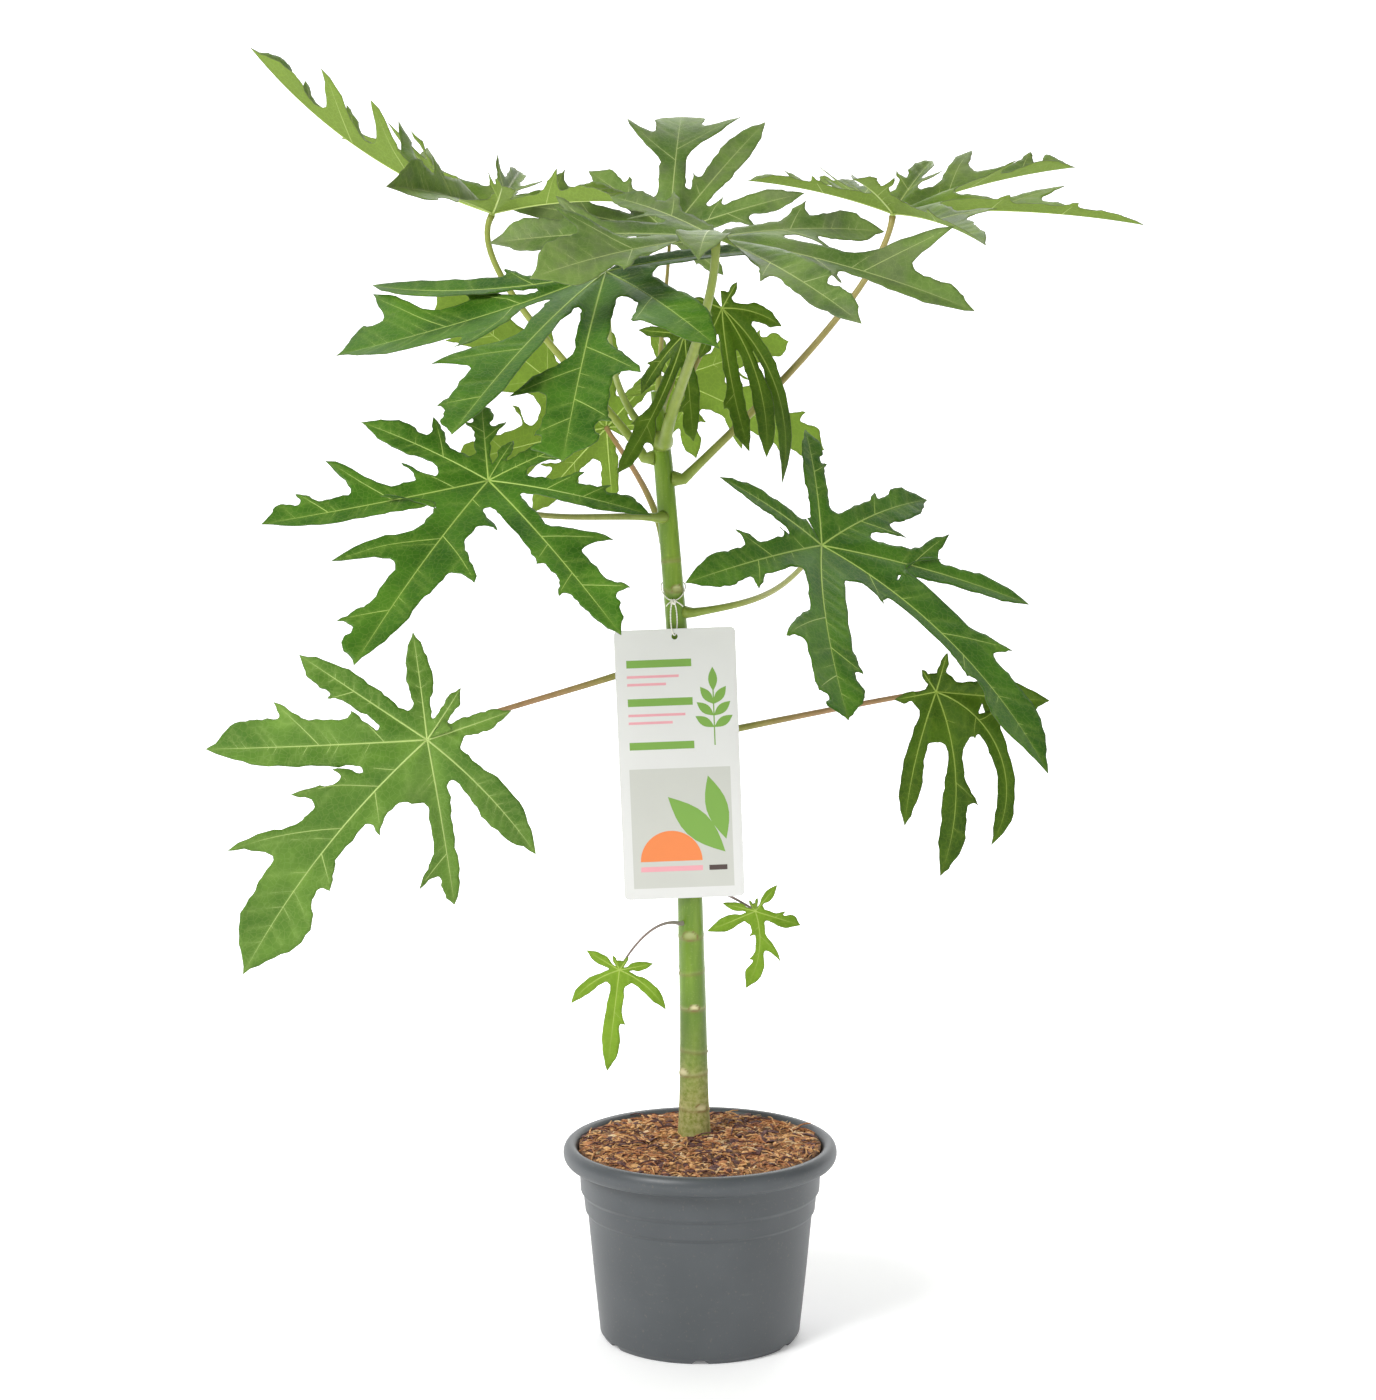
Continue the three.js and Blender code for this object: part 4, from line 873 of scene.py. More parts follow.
def lobes_of(leaf):
    """Lobes in order round the hub, with the notches between them."""
    lobes = sorted((Lobe(leaf, *row) for row in leaf["lobes"]), key=lambda lobe: lobe.root)
    for i, lobe in enumerate(lobes):
        for side in (1, -1):
            if 0 <= i + side < len(lobes):
                other = lobes[i + side]
                web = (lobe if side > 0 else other).web or leaf.get("web", 0.36)
                lobe.notch[side] = web * math.sqrt(lobe.length * other.length)
                lobe.half[side] = math.radians(abs(other.root - lobe.root) / 2)
            else:
                lobe.notch[side] = outer_notch * leaf["size"]
                lobe.half[side] = math.radians(outer_half)
    return lobes


def cubic(a, b, c, d, n=9, last=False):
    """Points on a curve from a to d that b and c pull, with or without the last one."""
    u = np.linspace(0, 1, n, endpoint=last)[:, None]
    a, b, c, d = (np.array(p, float) for p in (a, b, c, d))
    return a * (1 - u) ** 3 + 3 * b * u * (1 - u) ** 2 + 3 * c * u * u * (1 - u) + d * u ** 3


def lobe_side(lobe, side):
    """Flat outline of one side of a lobe, from the notch beside it to its tip."""
    radius = lobe.notch[side] / lobe.length
    half = lobe.half[side]
    cuts = lobe.cuts[side]
    here = radius * np.array([math.cos(half), math.sin(half)])
    inward = np.array([math.sin(half), -math.cos(half)])
    runs = []
    near = bool(cuts) and cuts[0][0] - here[0] <= 0.16
    if not near:
        waist = min(lobe.waist[side], here[1] * 0.85)
        belly = np.array([here[0] + 0.3 * here[1] + 0.04, waist])
        runs.append(cubic(here, here + inward * (here[1] - waist) * 0.8, belly - [0.06, 0], belly))
        here = belly
    for k, cut in enumerate(cuts):
        tip = np.array(cut[:2], float)
        waist = cut[2] if len(cut) > 2 else min(lobe.waist[side] * (1 - 0.12 * k), tip[1] * 0.72)
        if k == 0 and near:
            reach = np.linalg.norm(tip - here)
            runs.append(cubic(here, here + inward * 0.35 * reach,
                              tip - np.array([0.86, 0.5]) * 0.45 * reach, tip))
        else:
            lead = max(0.0, tip[0] - here[0] - 1.25 * (tip[1] - here[1]))
            knee = here + [lead * 0.8 if lead > 0.05 else 0, 0]
            if lead > 0.05:
                runs.append(np.linspace(here, knee, 5, endpoint=False))
            reach = np.linalg.norm(tip - knee)
            runs.append(cubic(knee, knee + np.array([0.30, 0.12]) * reach,
                              tip - np.array([0.93, 0.36]) * 0.5 * reach, tip))
        back = np.array([tip[0] + 0.035 - 0.4 * (tip[1] - waist), waist])
        drop = np.linalg.norm(tip - back)
        runs.append(cubic(tip, tip + np.array([-0.5, -0.87]) * 0.5 * drop, back - [0.42 * drop, 0], back))
        here = back
    rest = 1 - here[0]
    belly = np.array([here[0] + 0.4 * rest, lobe.end[side] or max(0.1, here[1] * 1.12)])
    runs.append(cubic(here, here + [0.16 * rest, 0], belly - [0.2 * rest, 0], belly))
    runs.append(cubic(belly, belly + [0.26 * rest, 0], [1 - 0.24 * rest, 0.1 * rest], [1, 0]))
    line = np.vstack(runs + [[[1.0, 0.0]]])
    line[:, 1] = np.maximum(line[:, 1], 0)
    return line * lobe.length


def ragged(line, rng, size):
    """The outline with the small uneven waves of a real margin; its two ends stay."""
    steps = np.concatenate([[0], np.cumsum(np.linalg.norm(np.diff(line, axis=0), axis=1))])
    waves = sum(a * np.sin(steps / w + rng.uniform(0, 6)) for a, w in ((0.45, 2.1), (0.3, 1.1), (0.5, 4.5)))
    ends = np.minimum(smooth(0, 6, steps), smooth(0, 9, steps[-1] - steps))
    ways = unit(np.gradient(line, axis=0))
    off = np.stack([-ways[:, 1], ways[:, 0]], axis=1)
    moved = line + off * (waves * ends * min(1, size / 200))[:, None]
    moved[:, 1] = np.maximum(moved[:, 1], 0)
    moved[-1, 1] = 0
    return moved


def inside(points, ring):
    """Which flat points lie inside a closed ring."""
    x, y = points[:, 0][:, None], points[:, 1][:, None]
    a, b = ring, np.roll(ring, -1, axis=0)
    crosses = (a[:, 1] > y) != (b[:, 1] > y)
    with np.errstate(divide="ignore", invalid="ignore"):
        at = a[:, 0] + (y - a[:, 1]) / (b[:, 1] - a[:, 1]) * (b[:, 0] - a[:, 0])
    return (crosses & (x < at)).sum(axis=1) % 2 == 1


def distance(points, starts, ends):
    """From each flat point to the nearest of some straight pieces."""
    run = ends - starts
    share = ((points[:, None] - starts) * run).sum(-1) / np.maximum((run ** 2).sum(-1), 1e-9)
    foot = starts + run * np.clip(share, 0, 1)[..., None]
    return np.linalg.norm(points[:, None] - foot, axis=-1).min(axis=1)


def kept(line, ring):
    """A line from its first point, which lies on the ring, to where it leaves the ring."""
    out = np.flatnonzero(~inside(line[1:] + 1e-4, ring))
    return line[:1 + (out[0] if len(out) else len(line))]


midrib_radius, side_vein_radius, lesser_vein_radius, twig_radius = 0.82, 0.44, 0.26, 0.18


def side_vein(cut, length):
    """Flat vein that curves from the midrib out to a side point."""
    s, t = cut[:2]
    root = s - 0.92 * t if s - 0.92 * t > 0.05 else 0.5 * s
    bow = np.array([root + 0.47 * (s - root), 0.54 * t])
    u = np.linspace(0, 1, 13)[:, None]
    return (np.array([root, 0]) * (1 - u) ** 2 + bow * 2 * u * (1 - u)
            + np.array([s - 0.01, t * 0.97]) * u * u) * length


def twig_of(vein, k, turn, reach):
    """Short straight twig that leaves a vein at its point k, to its left or its right."""
    way = unit(vein[k + 1] - vein[k])
    c, s = math.cos(0.8 * turn), math.sin(0.8 * turn)
    way = np.array([way[0] * c - way[1] * s, way[0] * s + way[1] * c])
    return vein[k] + way * np.linspace(0, reach, 5)[:, None]


def lesser_vein(root, length):
    """Flat vein that bows from the midrib towards the margin between two side points."""
    slope = math.radians(58) - math.radians(22) * np.linspace(0, 1, 9)
    step = 0.055 * length * (1.15 - root * 0.6)
    hops = np.stack([np.cos(slope), np.sin(slope)], axis=1)[:-1] * step
    return np.array([root * length, 0]) + np.cumsum(np.vstack([[0, 0], hops]), axis=0)


def veins_of(lobe, side, outline, size):
    """Flat side veins of half a lobe and their radii: one to each side point, lesser ones between."""
    length = lobe.length
    ring = np.vstack([[[0, 0], [length, 0]], outline[::-1]])
    veins = []
    for cut in lobe.cuts[side]:
        line = kept(side_vein(cut, length), ring)
        if len(line) < 4:
            continue
        veins.append((line, side_vein_radius))
        for k, turn in ((4, 1), (6, -1), (8, 1), (9, -1)):
            if k + 1 >= len(line):
                break
            twig = kept(twig_of(line, k, turn, 0.34 * cut[1] * length), ring)
            if len(twig) > 2 and size > 100:
                veins.append((twig, twig_radius))
    roots = [line[0][0] / length for line, _ in veins]
    gap = max(0.07, 10.5 / length)
    for root in np.arange(0.1, 0.93, gap):
        root += 0.25 * gap * math.sin(root * 45 + length)
        if any(abs(root - r) < 0.45 * gap for r in roots):
            continue
        line = kept(lesser_vein(root, length), ring)
        if len(line) > 2:
            veins.append((line, lesser_vein_radius))
    return veins


def flat_triangles(points, rings):
    """Flat points and triangles between them. The first points are closed rings of the given lengths."""
    edges, start = [], 0
    for length in rings:
        edges += [(start + k, start + (k + 1) % length) for k in range(length)]
        start += length
    done, _, triangles, *_ = delaunay_2d_cdt([Vector(p) for p in points], edges, [], 1, 1e-5)
    return np.array([tuple(p) for p in done]), triangles


skin_half, groove_width, vein_fade = 0.2, 2.6, 1.8
margin_radius, margin_tip_radius = 0.22, 0.1


class Blade:
    """A whole blade: its lobes round the hub, its skin, and the lines of its margin and its veins."""

    def __init__(self, leaf, rng):
        self.lobes = lobes_of(leaf)
        self.size = leaf["size"]
        self.grid = 2.3 if self.size > 120 else 1.8
        self.plump = min(0.34, self.size / 600)
        self.rng = rng
        self.phases = [rng.uniform(0, 6.28) for _ in range(4)]
        self.skin, self.flats, self.nearness, self.faces = [], [], [], []
        self.margins, self.ribs = [], []
        self.count = 0
        for i, lobe in enumerate(self.lobes):
            midrib = np.stack([np.linspace(0, 0.985, 30) * lobe.length, np.zeros(30)], axis=1)
            self.ribs.append((i, 1, midrib, midrib_radius))
            for side in (1, -1):
                self.add_half(i, side)

    def surface(self, i, side, s, t, off=None, up=0):
        """Flat points of half a lobe in space. The skin swells between veins and waves at its margin."""
        lobe = self.lobes[i]
        swell = np.zeros(len(s)) + up
        reach = np.hypot(s, t)
        free = np.ones(len(s))
        shared = 0 <= i + side < len(self.lobes)
        if shared:
            near = np.clip(np.arctan2(np.abs(t), s) / lobe.half[side], 0, 1)
            notch = lobe.notch[side]
            free = np.maximum(1 - near ** 3, smooth(notch, 1.5 * notch, reach))
        if off is not None:
            swell = swell + self.plump * (1 - np.exp(-(off / groove_width) ** 2)) * free
        wave = (np.sin(s / 17 + self.phases[0] + i) * 1.7
                + np.sin(s / 8.5 + self.phases[1] + side + 2 * i) * 0.8)
        swell = swell + wave * (np.abs(t) / (0.2 * lobe.length)) ** 2 * free * min(1, self.size / 200)
        own = lobe.bent(s, t, swell)
        if not shared:
            return own
        other = self.lobes[i + side]
        share = 0.5 * near ** 2 * (1 - smooth(notch, 1.9 * notch, reach))
        there = np.arctan2(t, s) - math.radians(other.root - lobe.root)
        far = other.bent(reach * np.cos(there), reach * np.sin(there), swell)
        return own + (far - own) * share[:, None]

    def grid_inside(self, ring):
        """Flat points of a triangular grid inside a ring, not too close to it."""
        low, high = ring.min(axis=0), ring.max(axis=0)
        xs, ys = np.meshgrid(np.arange(low[0], high[0], self.grid),
                             np.arange(low[1], high[1], self.grid * 0.87))
        xs[1::2] += self.grid / 2
        spots = np.stack([xs.ravel(), ys.ravel()], axis=1)
        spots = spots[inside(spots, ring)]
        if len(spots):
            spots = spots[distance(spots, ring, np.roll(ring, -1, axis=0)) > 0.5 * self.grid]
        return spots

    def add_half(self, i, side):
        """Lays the veins of half a lobe and meshes it from its midrib to its outline."""
        lobe = self.lobes[i]
        outline = ragged(lobe_side(lobe, side), self.rng, self.size)
        veins = veins_of(lobe, side, outline, self.size)
        self.ribs += [(i, side, line, radius) for line, radius in veins]
        paths = [np.array([[0, 0], [lobe.length, 0]])] + [line for line, _ in veins]
        lines = (np.vstack([p[:-1] for p in paths]), np.vstack([p[1:] for p in paths]))
        stations = np.linspace(0, lobe.length, int(lobe.length / self.grid) + 2)
        spine = np.stack([stations, np.zeros(len(stations))], axis=1)
        seam = np.linspace([0, 0], outline[0], int(np.hypot(*outline[0]) / self.grid) + 2)[1:-1]
        ring = np.vstack([spine[:-1], outline[::-1], seam[::-1]])
        flat, triangles = flat_triangles(np.vstack([ring, self.grid_inside(ring)]), [len(ring)])
        s, t = flat[:, 0], flat[:, 1] * side
        off = distance(flat, *lines)
        self.skin.append(self.surface(i, side, s, t, off))
        self.nearness.append(np.exp(-off / vein_fade))
        turn = math.radians(lobe.root)
        self.flats.append(np.stack([s * math.cos(turn) - t * math.sin(turn),
                                    s * math.sin(turn) + t * math.cos(turn)], axis=1))
        for face in triangles:
            a, b, c = (flat[k] for k in face)
            area = (b[0] - a[0]) * (c[1] - a[1]) - (b[1] - a[1]) * (c[0] - a[0])
            if abs(area) > 1e-7:
                face = tuple(k + self.count for k in face)
                self.faces.append(face if area * side > 0 else face[::-1])
        self.count += len(flat)
        self.margins.append(self.surface(i, side, outline[:, 0], outline[:, 1] * side,
                                         distance(outline, *lines)))

    def welded(self):
        """The halves joined into one skin: its points in space and flat, near_vein of each, its faces."""
        skin, flats, nearness = np.vstack(self.skin), np.vstack(self.flats), np.concatenate(self.nearness)
        _, first, where = np.unique(np.round(skin, 3), axis=0, return_index=True, return_inverse=True)
        faces = where.ravel()[np.array(self.faces)]
        whole = (faces[:, 0] != faces[:, 1]) & (faces[:, 1] != faces[:, 2]) & (faces[:, 2] != faces[:, 0])
        return skin[first], flats[first], nearness[first], faces[whole]


def point_normals(points, faces):
    """Unit normal at each point, from the triangles round it."""
    flat = np.cross(points[faces[:, 1]] - points[faces[:, 0]], points[faces[:, 2]] - points[faces[:, 0]])
    normals = np.zeros_like(points)
    for k in range(3):
        np.add.at(normals, faces[:, k], flat)
    return unit(normals + 1e-12)


def add_plate(shape, front, back, faces, front_finish, back_finish, edge_finish, **marks):
    """A thin closed plate: two sides of the same triangles, and the strip between their edges."""
    count = len(front)
    faces = [tuple(face) for face in faces]
    directed = {(face[k], face[(k + 1) % 3]) for face in faces for k in range(3)}
    strip = [(a, a + count, b + count, b) for a, b in directed if (b, a) not in directed]
    shape.add(np.vstack([front, back]),
              faces + [tuple(k + count for k in face[::-1]) for face in faces] + strip,
              front_finish + [back_finish] * len(faces) + [edge_finish] * len(strip), **marks)


def hub_knob(leaf):
    """Small swelling where the veins meet the stalk."""
    out = blade_axes(leaf["face"])[2]
    radius = 0.8 + leaf["size"] / 160
    hub = np.array(leaf["hub"], float)
    path = [hub + out * h * radius for h in (-1.2, -0.7, 0.0, 0.3, 0.42)]
    return tube(path, np.array([0.95, 1.15, 1.0, 0.6, 0.15]) * radius, 10)[:2]


def leaf_piece(leaf, rng):
    """The leaf itself: two skins, a line round the margin, its veins and the knob where they meet."""
    blade = Blade(leaf, rng)
    skin, flats, nearness, faces = blade.welded()
    lift = point_normals(skin, faces) * skin_half
    upper, lower, margin, vein = range(4)
    shape = Shape(*leaf_paints[leaf.get("finish", "grown")])
    add_plate(shape, skin + lift, skin - lift, faces.tolist(), [upper] * len(faces), lower, margin,
              flat_x=np.tile(flats[:, 0], 2), flat_y=np.tile(flats[:, 1], 2),
              near_vein=np.tile(nearness, 2))
    for line in blade.margins:
        wide = np.full(len(line), margin_radius)
        wide[-1] = margin_tip_radius
        shape.add(*tube(line, wide, 5)[:2], margin)
    for i, side, line, radius in blade.ribs:
        middle = radius == midrib_radius
        path = blade.surface(i, side, line[:, 0], line[:, 1] * side, up=0.05)
        thick = radius * min(1, 0.35 + leaf["size"] / 330)
        u = np.linspace(0, 1, len(path))
        wide = thick * ((1 - u) ** (0.8 if middle else 0.5) * 0.85 + 0.15)
        shape.add(*tube(path, wide, 6 if middle else 5)[:2], vein)
    shape.add(*hub_knob(leaf), vein)
    return shape.piece("leaf_" + leaf["name"])


def vein_net(paint, width):
    """The fine net between the veins, laid out on the flat blade: 1 on its lines and 0 between."""
    across, along = paint.mark("flat_x"), paint.mark("flat_y")
    flat = paint.node("ShaderNodeCombineXYZ", None, {0: across, 1: along, 2: 0.0})
    cells = paint.node("ShaderNodeTexVoronoi", {"feature": "DISTANCE_TO_EDGE"},
                       {"Vector": flat, "Scale": 0.23})
    return 1 - paint.fade(cells, 0.0, width)


def scaled(colour, share):
    """A colour made lighter or darker."""
    return [min(255, c * share) for c in colour]


def leaf_finish(name, deep, fresh, under, vein, dust=0.0, through=0.3):
    """Paints of one kind of leaf: upper side, underside, margin and veins."""
    top = Paint(name + "_upper", Roughness=0.46, Specular_IOR_Level=0.22)
    net = vein_net(top, 0.09)
    patches = top.noise(22, 3, 0.5)
    mottle = top.noise(150, 3, 0.6)
    green = top.ramp(patches * 0.8 + mottle * 0.2, (0.36, linear(*deep)), (0.62, linear(*fresh)))
    green = top.mix(top.mark("near_vein") * 0.2 + net * 0.12, green, linear(*vein))
    # dust mixes in grey patches that are partly real dust and partly painted sheen, the pale highlight of
    # leaves seen nearly edge on.
    if dust:
        dust_and_sheen = top.fade(top.noise(30, 4, 0.6), 0.42, 0.66)
        green = top.mix(dust_and_sheen * dust, green, linear(118, 112, 106))
    top.feed(Base_Color=green, Roughness=0.38 + patches * 0.16)
    top.bump(mottle * 0.5 - net * 0.5, 0.3, 0.0006)
    top.glow_through(green, through)
    below = Paint(name + "_under", Roughness=0.7, Specular_IOR_Level=0.15)
    net = vein_net(below, 0.1)
    pale = below.mix(below.noise(28, 3), linear(*scaled(under, 0.86)), linear(*under))
    pale = below.mix(net * 0.25, pale, linear(*scaled(under, 1.12)))
    below.feed(Base_Color=pale)
    below.bump(net, 0.3, 0.0006)
    below.glow_through(pale, through)
    margin = Paint(name + "_margin", Roughness=0.6)
    edge = [0.5 * a + 0.5 * b for a, b in zip(deep, (84, 74, 72))]
    margin.feed(Base_Color=margin.mix(margin.noise(60), linear(*edge), linear(*scaled(edge, 1.2))))
    rib = Paint(name + "_vein", Roughness=0.5)
    rib.feed(Base_Color=rib.mix(rib.noise(40), linear(*scaled(vein, 0.9)), linear(*vein)))
    return top, below, margin, rib


# Each finish is its upper side's deep and fresh green, its underside and its veins. The dust that some
# finishes mix in is partly real dust and partly painted sheen. The greens of the finish for leaves 10 and 15
# are also made lighter to paint in their highlights.
leaf_paints = {
    "grown": leaf_finish("grown_leaf", (52, 98, 18), (84, 132, 34), (140, 166, 86), (168, 196, 92)),
    "pale": leaf_finish("pale_leaf", (76, 116, 34), (112, 150, 58), (140, 166, 86), (176, 200, 112)),
    "crown": leaf_finish("crown_leaf", (84, 116, 38), (128, 158, 60), (136, 162, 70), (174, 194, 100),
                         dust=0.2),
    "dusty_sheen": leaf_finish("dusty_leaf", (86, 118, 50), (128, 156, 78), (134, 160, 72), (176, 194, 118),
                         dust=0.3),
    "lit": leaf_finish("lit_leaf", (96, 132, 22), (136, 166, 48), (148, 176, 72), (176, 200, 96),
                       through=0.5),
    "young": leaf_finish("young_leaf", (56, 88, 10), (86, 120, 22), (116, 144, 46), (146, 170, 62),
                         through=0.4),
    "sprout": leaf_finish("sprout_leaf", (112, 150, 30), (144, 180, 54), (148, 178, 66), (172, 198, 84),
                          through=0.4),
}
for index, leaf in enumerate(leaves):
    hand_in(leaf_piece(leaf, random.Random(40 + index)), "blade", "blade_" + leaf["name"])

# ------------------------------------------------------------------ leaf stalks
# Each stalk is a hollow green limb that swells where it clasps the stem and thins to the hub of
# its blade. It is green at the stem and turns pinkish brown where the sun reaches it.
stalk_paint = Paint("leaf_stalk", Roughness=0.42, Specular_IOR_Level=0.3)
grain = stalk_paint.noise(120, 3, 0.6, stretch=(1, 1, 0.4))
stalk_green = stalk_paint.mix(grain, linear(104, 126, 38), linear(140, 158, 70))
stalk_brown = stalk_paint.mix(grain, linear(132, 106, 66), linear(168, 134, 98))
stalk_dull = stalk_paint.mix(grain, linear(122, 110, 112), linear(150, 140, 138))
tanned = stalk_paint.fade(stalk_paint.mark("along"), 0.0, 0.5) * stalk_paint.mark("tan")
stalk_skin = stalk_paint.mix(tanned, stalk_green, stalk_brown)
stalk_paint.feed(Base_Color=stalk_paint.mix(stalk_paint.mark("dull"), stalk_skin, stalk_dull))
stalk_paint.bump(grain, 0.15, 0.0008)
stalk_radius = 2.6


def stalk_path(leaf):
    """Out from the stem's surface, level or rising, and in under the hub of the blade."""
    out = blade_axes(leaf["face"])[2]
    hub = np.array(leaf["hub"], float)
    root = stem_at(leaf["stem"])
    compass = math.atan2(hub[1] - root[1], hub[0] - root[0])
    if "way" in leaf:
        compass = math.radians(leaf["way"])
    away = np.array([math.cos(compass), math.sin(compass), 0])
    radius = stalk_radius * leaf.get("thin", 1)
    start = root + away * (stem_radius(leaf["stem"]) - 1.5)
    clear = root + away * (stem_radius(leaf["stem"]) + 2.4 * radius)
    end = hub - out * 1.5
    span = np.linalg.norm(start - end)
    rise = math.radians(leaf["rise"])
    first = away * math.cos(rise) + np.array([0, 0, math.sin(rise)])
    bow = cubic(clear, clear + first * leaf["sag"] * span, end - out * 0.22 * span, end, 34, last=True)
    return np.vstack([start, start + (clear - start) * 0.5, bow]), radius


for leaf in leaves:
    path, radius = stalk_path(leaf)
    steps = np.concatenate([[0], np.cumsum(np.linalg.norm(np.diff(path, axis=0), axis=1))])
    u = steps / steps[-1]
    wide = radius * (1 + 0.85 * np.exp(-steps / 7) + 0.25 * np.exp(-steps / 40) - 0.28 * u
                     + 0.16 * np.exp(-((1 - u) * steps[-1] / 6) ** 2))
    stalk_points, stalk_faces, stalk_share = tube(path, wide, 16)
    stalk_shape = Shape(stalk_paint)
    stalk_shape.add(stalk_points, stalk_faces, along=stalk_share, tan=leaf.get("tan", 0.6),
                    dull=0.8 if leaf.get("finish") == "sprout" else 0.0)
    hand_in(stalk_shape.piece("leaf_stalk_" + leaf["name"]), "stalk", "stalk_" + leaf["name"])

# ------------------------------------------------------------------ tag
# A slim plastic card with rounded corners, which hangs by one hole. Its printing is a plain pattern
# of its own: a sprig and bars above, and a half disc and two leaves on a grey panel below.
tag_width, tag_height, tag_thick, tag_corner = 93.5, 211, 0.8, 4
tag_centre = (-16, 455)
tag_front, tag_tilt = 2.4, math.radians(2.2)
hole_radius, tag_inset = 2.4, 6


def arc(x, y, radius, start, end, steps):
    """Flat points along part of a circle, both ends included."""
    turns = np.radians(np.linspace(start, end, steps))
    return [(x + radius * math.cos(a), y + radius * math.sin(a)) for a in turns]


def bar(left, right, low, high):
    """Flat printed bar."""
    return [(left, low), (right, low), (right, high), (left, high)]


def petal(x, y, length, wide, way):
    """Pointed oval that starts at a point and lies along a way."""
    u = np.linspace(0, 1, 9)
    side = wide / 2 * np.sin(np.pi * u)
    ring = np.vstack([np.stack([u * length, side], axis=1), np.stack([u * length, -side], axis=1)[-2:0:-1]])
    c, s = math.cos(math.radians(way)), math.sin(math.radians(way))
    return [(x + a * c - b * s, y + a * s + b * c) for a, b in ring]


half_wide, half_high = tag_width / 2 - tag_corner, tag_height / 2 - tag_corner
card_edge = []
for quarter, (x, y) in enumerate([(1, 1), (-1, 1), (-1, -1), (1, -1)]):
    card_edge += arc(x * half_wide, y * half_high, tag_corner, 90 * quarter, 90 * quarter + 90, 7)
card_hole = arc(0, tag_height / 2 - tag_inset, hole_radius, 0, 330, 23)
card_colours = {"white": (214, 214, 212), "panel": (192, 193, 186), "green": (116, 160, 62),
                "orange": (228, 128, 66), "rose": (224, 158, 166), "dark": (70, 54, 50)}
# Each printed shape is (colour, ring), and later ones lie on top.
prints = [("panel", bar(-39, 39, -97, -3)), ("orange", arc(-9, -76, 24, 0, 180, 24)),
          ("green", petal(33, -70, 62, 21, 134)), ("green", petal(34, -60, 52, 17, 104)),
          ("rose", bar(-33, 15, -84, -80)), ("dark", bar(20, 34, -84, -80)),
          ("green", bar(-38, 12, 76, 82)), ("rose", bar(-38, 2, 68, 70)), ("rose", bar(-38, -8, 62, 64)),
          ("green", bar(-38, 12, 46, 52)), ("rose", bar(-38, 6, 38, 40)), ("rose", bar(-38, -4, 32, 34)),
          ("green", bar(-38, 12, 12, 18))]
sprig_foot, sprig_x, leaf_gap = 28, 28, 9
for k, turn in enumerate((-58, 58, -50, 50, -36, 36)):
    prints.append(("green", petal(sprig_x, sprig_foot + leaf_gap * (k // 2), 17, 7, 90 + turn)))
prints += [("green", bar(sprig_x - 0.5, sprig_x + 0.5, 14, 60)), ("green", petal(sprig_x, 56, 19, 7, 90))]


def card_ink(name, colour):
    """Smooth print of one colour that varies a little."""
    paint = Paint("card_" + name, Roughness=0.4)
    return paint.feed(Base_Color=paint.mix(paint.noise(30), linear(*colour), linear(*scaled(colour, 0.98))))


def card_place(flat, depth):
    """A flat point of the card, hung at its slight tilt, that far behind its front."""
    x, y = flat[:, 0], flat[:, 1]
    c, s = math.cos(tag_tilt), math.sin(tag_tilt)
    return np.stack([tag_centre[0] + x * c - y * s, np.full(len(x), tag_front + depth),
                     tag_centre[1] + x * s + y * c], axis=1)


rings = [card_edge, card_hole] + [ring for _, ring in prints]
flat, triangles = flat_triangles(np.vstack(rings), [len(ring) for ring in rings])
centres = np.array([flat[list(face)].mean(axis=0) for face in triangles])
inks = list(card_colours)
finish = np.zeros(len(triangles), dtype=int)
for colour, ring in prints:
    finish[inside(centres, np.array(ring))] = inks.index(colour)
solid = ~inside(centres, np.array(card_hole))
card_shape = Shape(*[card_ink(name, colour) for name, colour in card_colours.items()])
add_plate(card_shape, card_place(flat, 0), card_place(flat, tag_thick),
          [face for face, good in zip(triangles, solid) if good], finish[solid].tolist(),
          inks.index("white"), inks.index("white"))
hand_in(card_shape.piece("hanging_card", smooth=False), "tag", "tag")

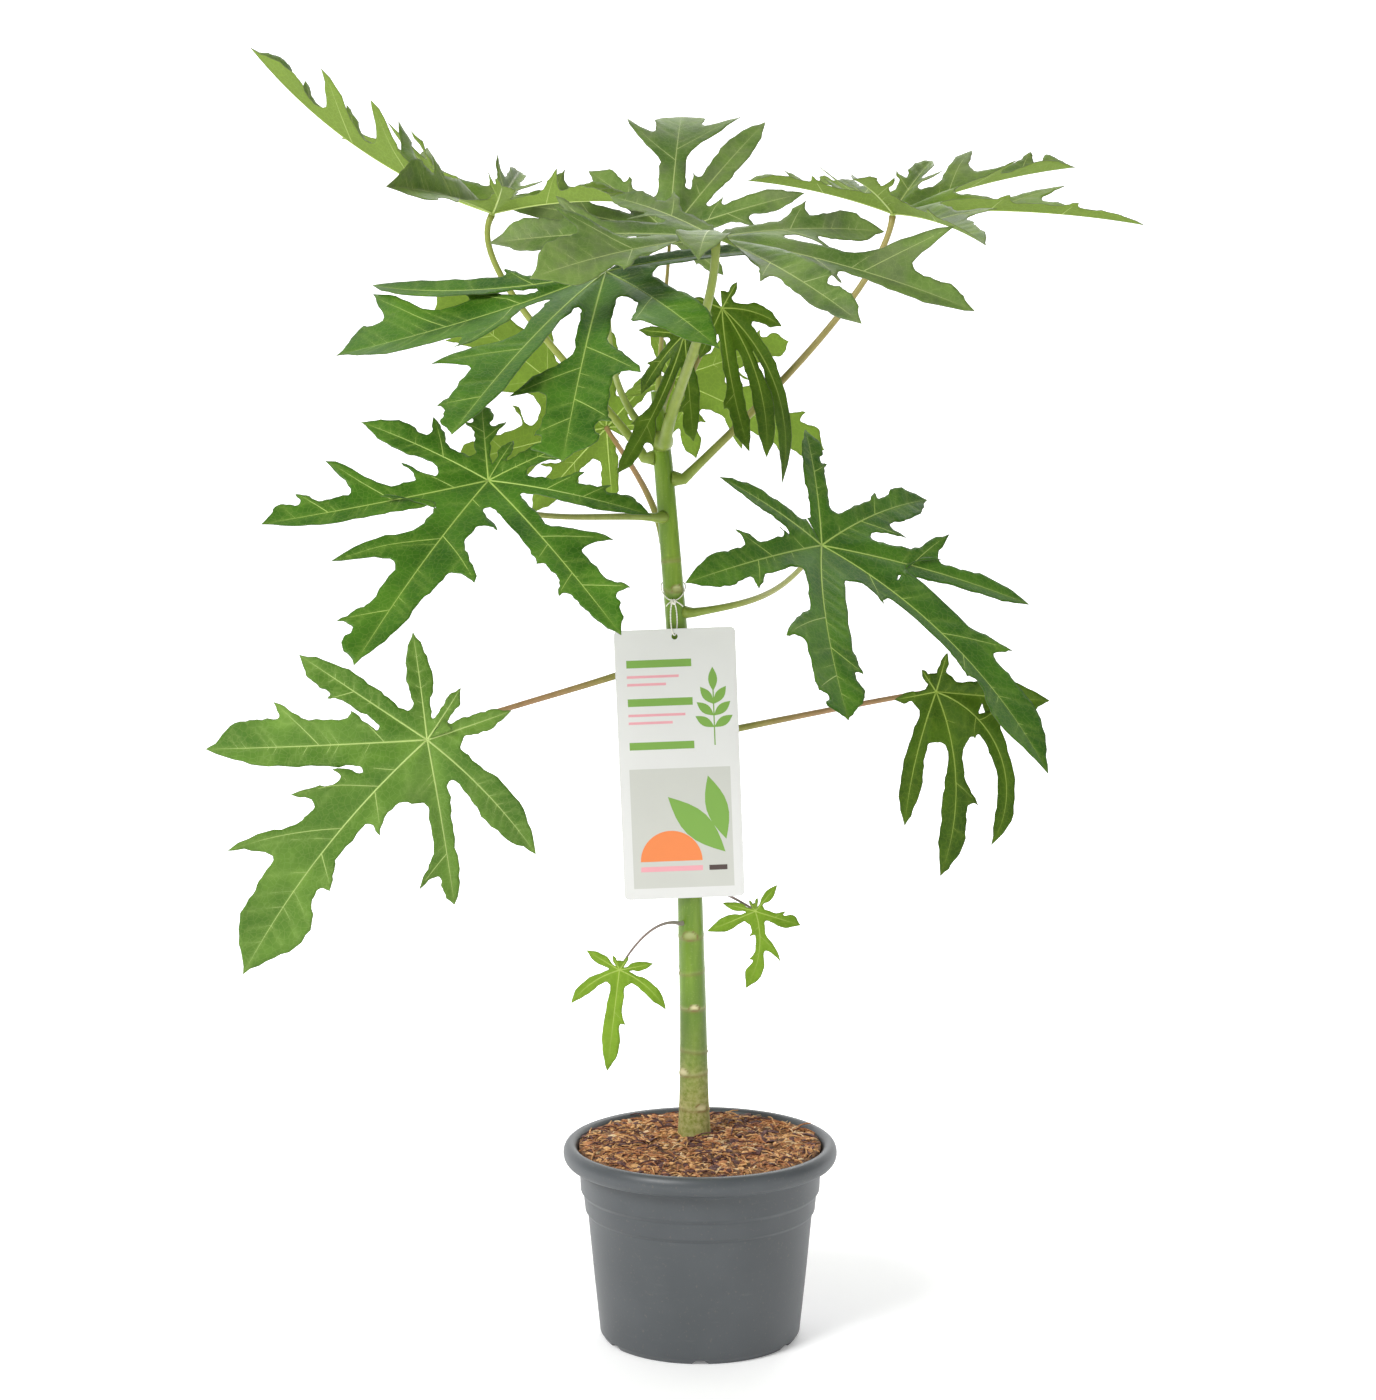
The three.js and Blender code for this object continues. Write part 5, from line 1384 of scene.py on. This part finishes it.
# ------------------------------------------------------------------ tag string
# White cotton string, wound from two strands. One slack loop goes round the stem, sags to a knot in
# front of it and hangs on from there to the card's hole. The knot's two short tails stick out.
string_height, string_slack, string_radius = 595, 0.9, 0.6
loop_sag, knot_drop = 13, 14
string_paint = Paint("cotton_string", Roughness=0.85)
string_paint.feed(Base_Color=string_paint.mix(string_paint.noise(500), linear(226, 222, 208),
                                              linear(246, 244, 236)))
string_shape = Shape(string_paint)


def twine(path, turns):
    """Adds two strands wound round a path."""
    path = np.asarray(path, float)
    ways = unit(np.gradient(path, axis=0))
    side = unit(np.cross(ways, [0.2, 0.1, 1.0]))
    other = np.cross(ways, side)
    angle = np.linspace(0, turns * 2 * np.pi, len(path))[:, None]
    for start in (0, np.pi):
        strand = path + 0.3 * string_radius * (np.cos(angle + start) * side + np.sin(angle + start) * other)
        string_shape.add(*tube(strand, [0.62 * string_radius] * len(path), 6)[:2])


hold = stem_at(string_height)
ring = stem_radius(string_height) + string_radius + string_slack
turn = np.linspace(-0.5, 1.5, 90) * np.pi
twine(np.stack([hold[0] + ring * np.cos(turn), hold[1] + ring * np.sin(turn),
                string_height - loop_sag * (0.5 - 0.5 * np.sin(turn)) ** 2], axis=1), 26)

hole_top = tag_height / 2 - tag_inset + hole_radius
low = np.array([tag_centre[0] - hole_top * math.sin(tag_tilt), tag_front + tag_thick / 2,
                tag_centre[1] + hole_top * math.cos(tag_tilt) - 0.3 - 2 * string_radius])
knot = np.array([hold[0], hold[1] - ring - 0.5, string_height - knot_drop])
turn = np.linspace(-0.5, 1.5, 70) * np.pi
up = 0.5 + 0.5 * np.sin(turn)
twine(np.stack([low[0] + (knot[0] - low[0]) * up + 2.5 * np.cos(turn),
                low[1] + (knot[1] - low[1]) * up * 0.5 + 2.2 * np.cos(turn),
                low[2] + (knot[2] - low[2]) * up], axis=1), 18)

wrap = np.linspace(0, 2 * np.pi, 60)
knot_path = np.stack([1.5 * np.sin(2 * wrap), 0.8 * np.cos(3 * wrap), 1.7 * np.sin(3 * wrap + 0.5)], axis=1)
string_shape.add(*tube(knot + knot_path, [string_radius] * len(wrap), 6)[:2])
for lean in (-0.5, 0.7):
    u = np.linspace(0, 1, 12)[:, None]
    twine(knot + np.array([6 * lean, -1.0, 3.5]) * u + np.array([5 * lean, 0, -7.0]) * u * u, 4)
hand_in(string_shape.piece("tag_twine"), "string", "tag_string")
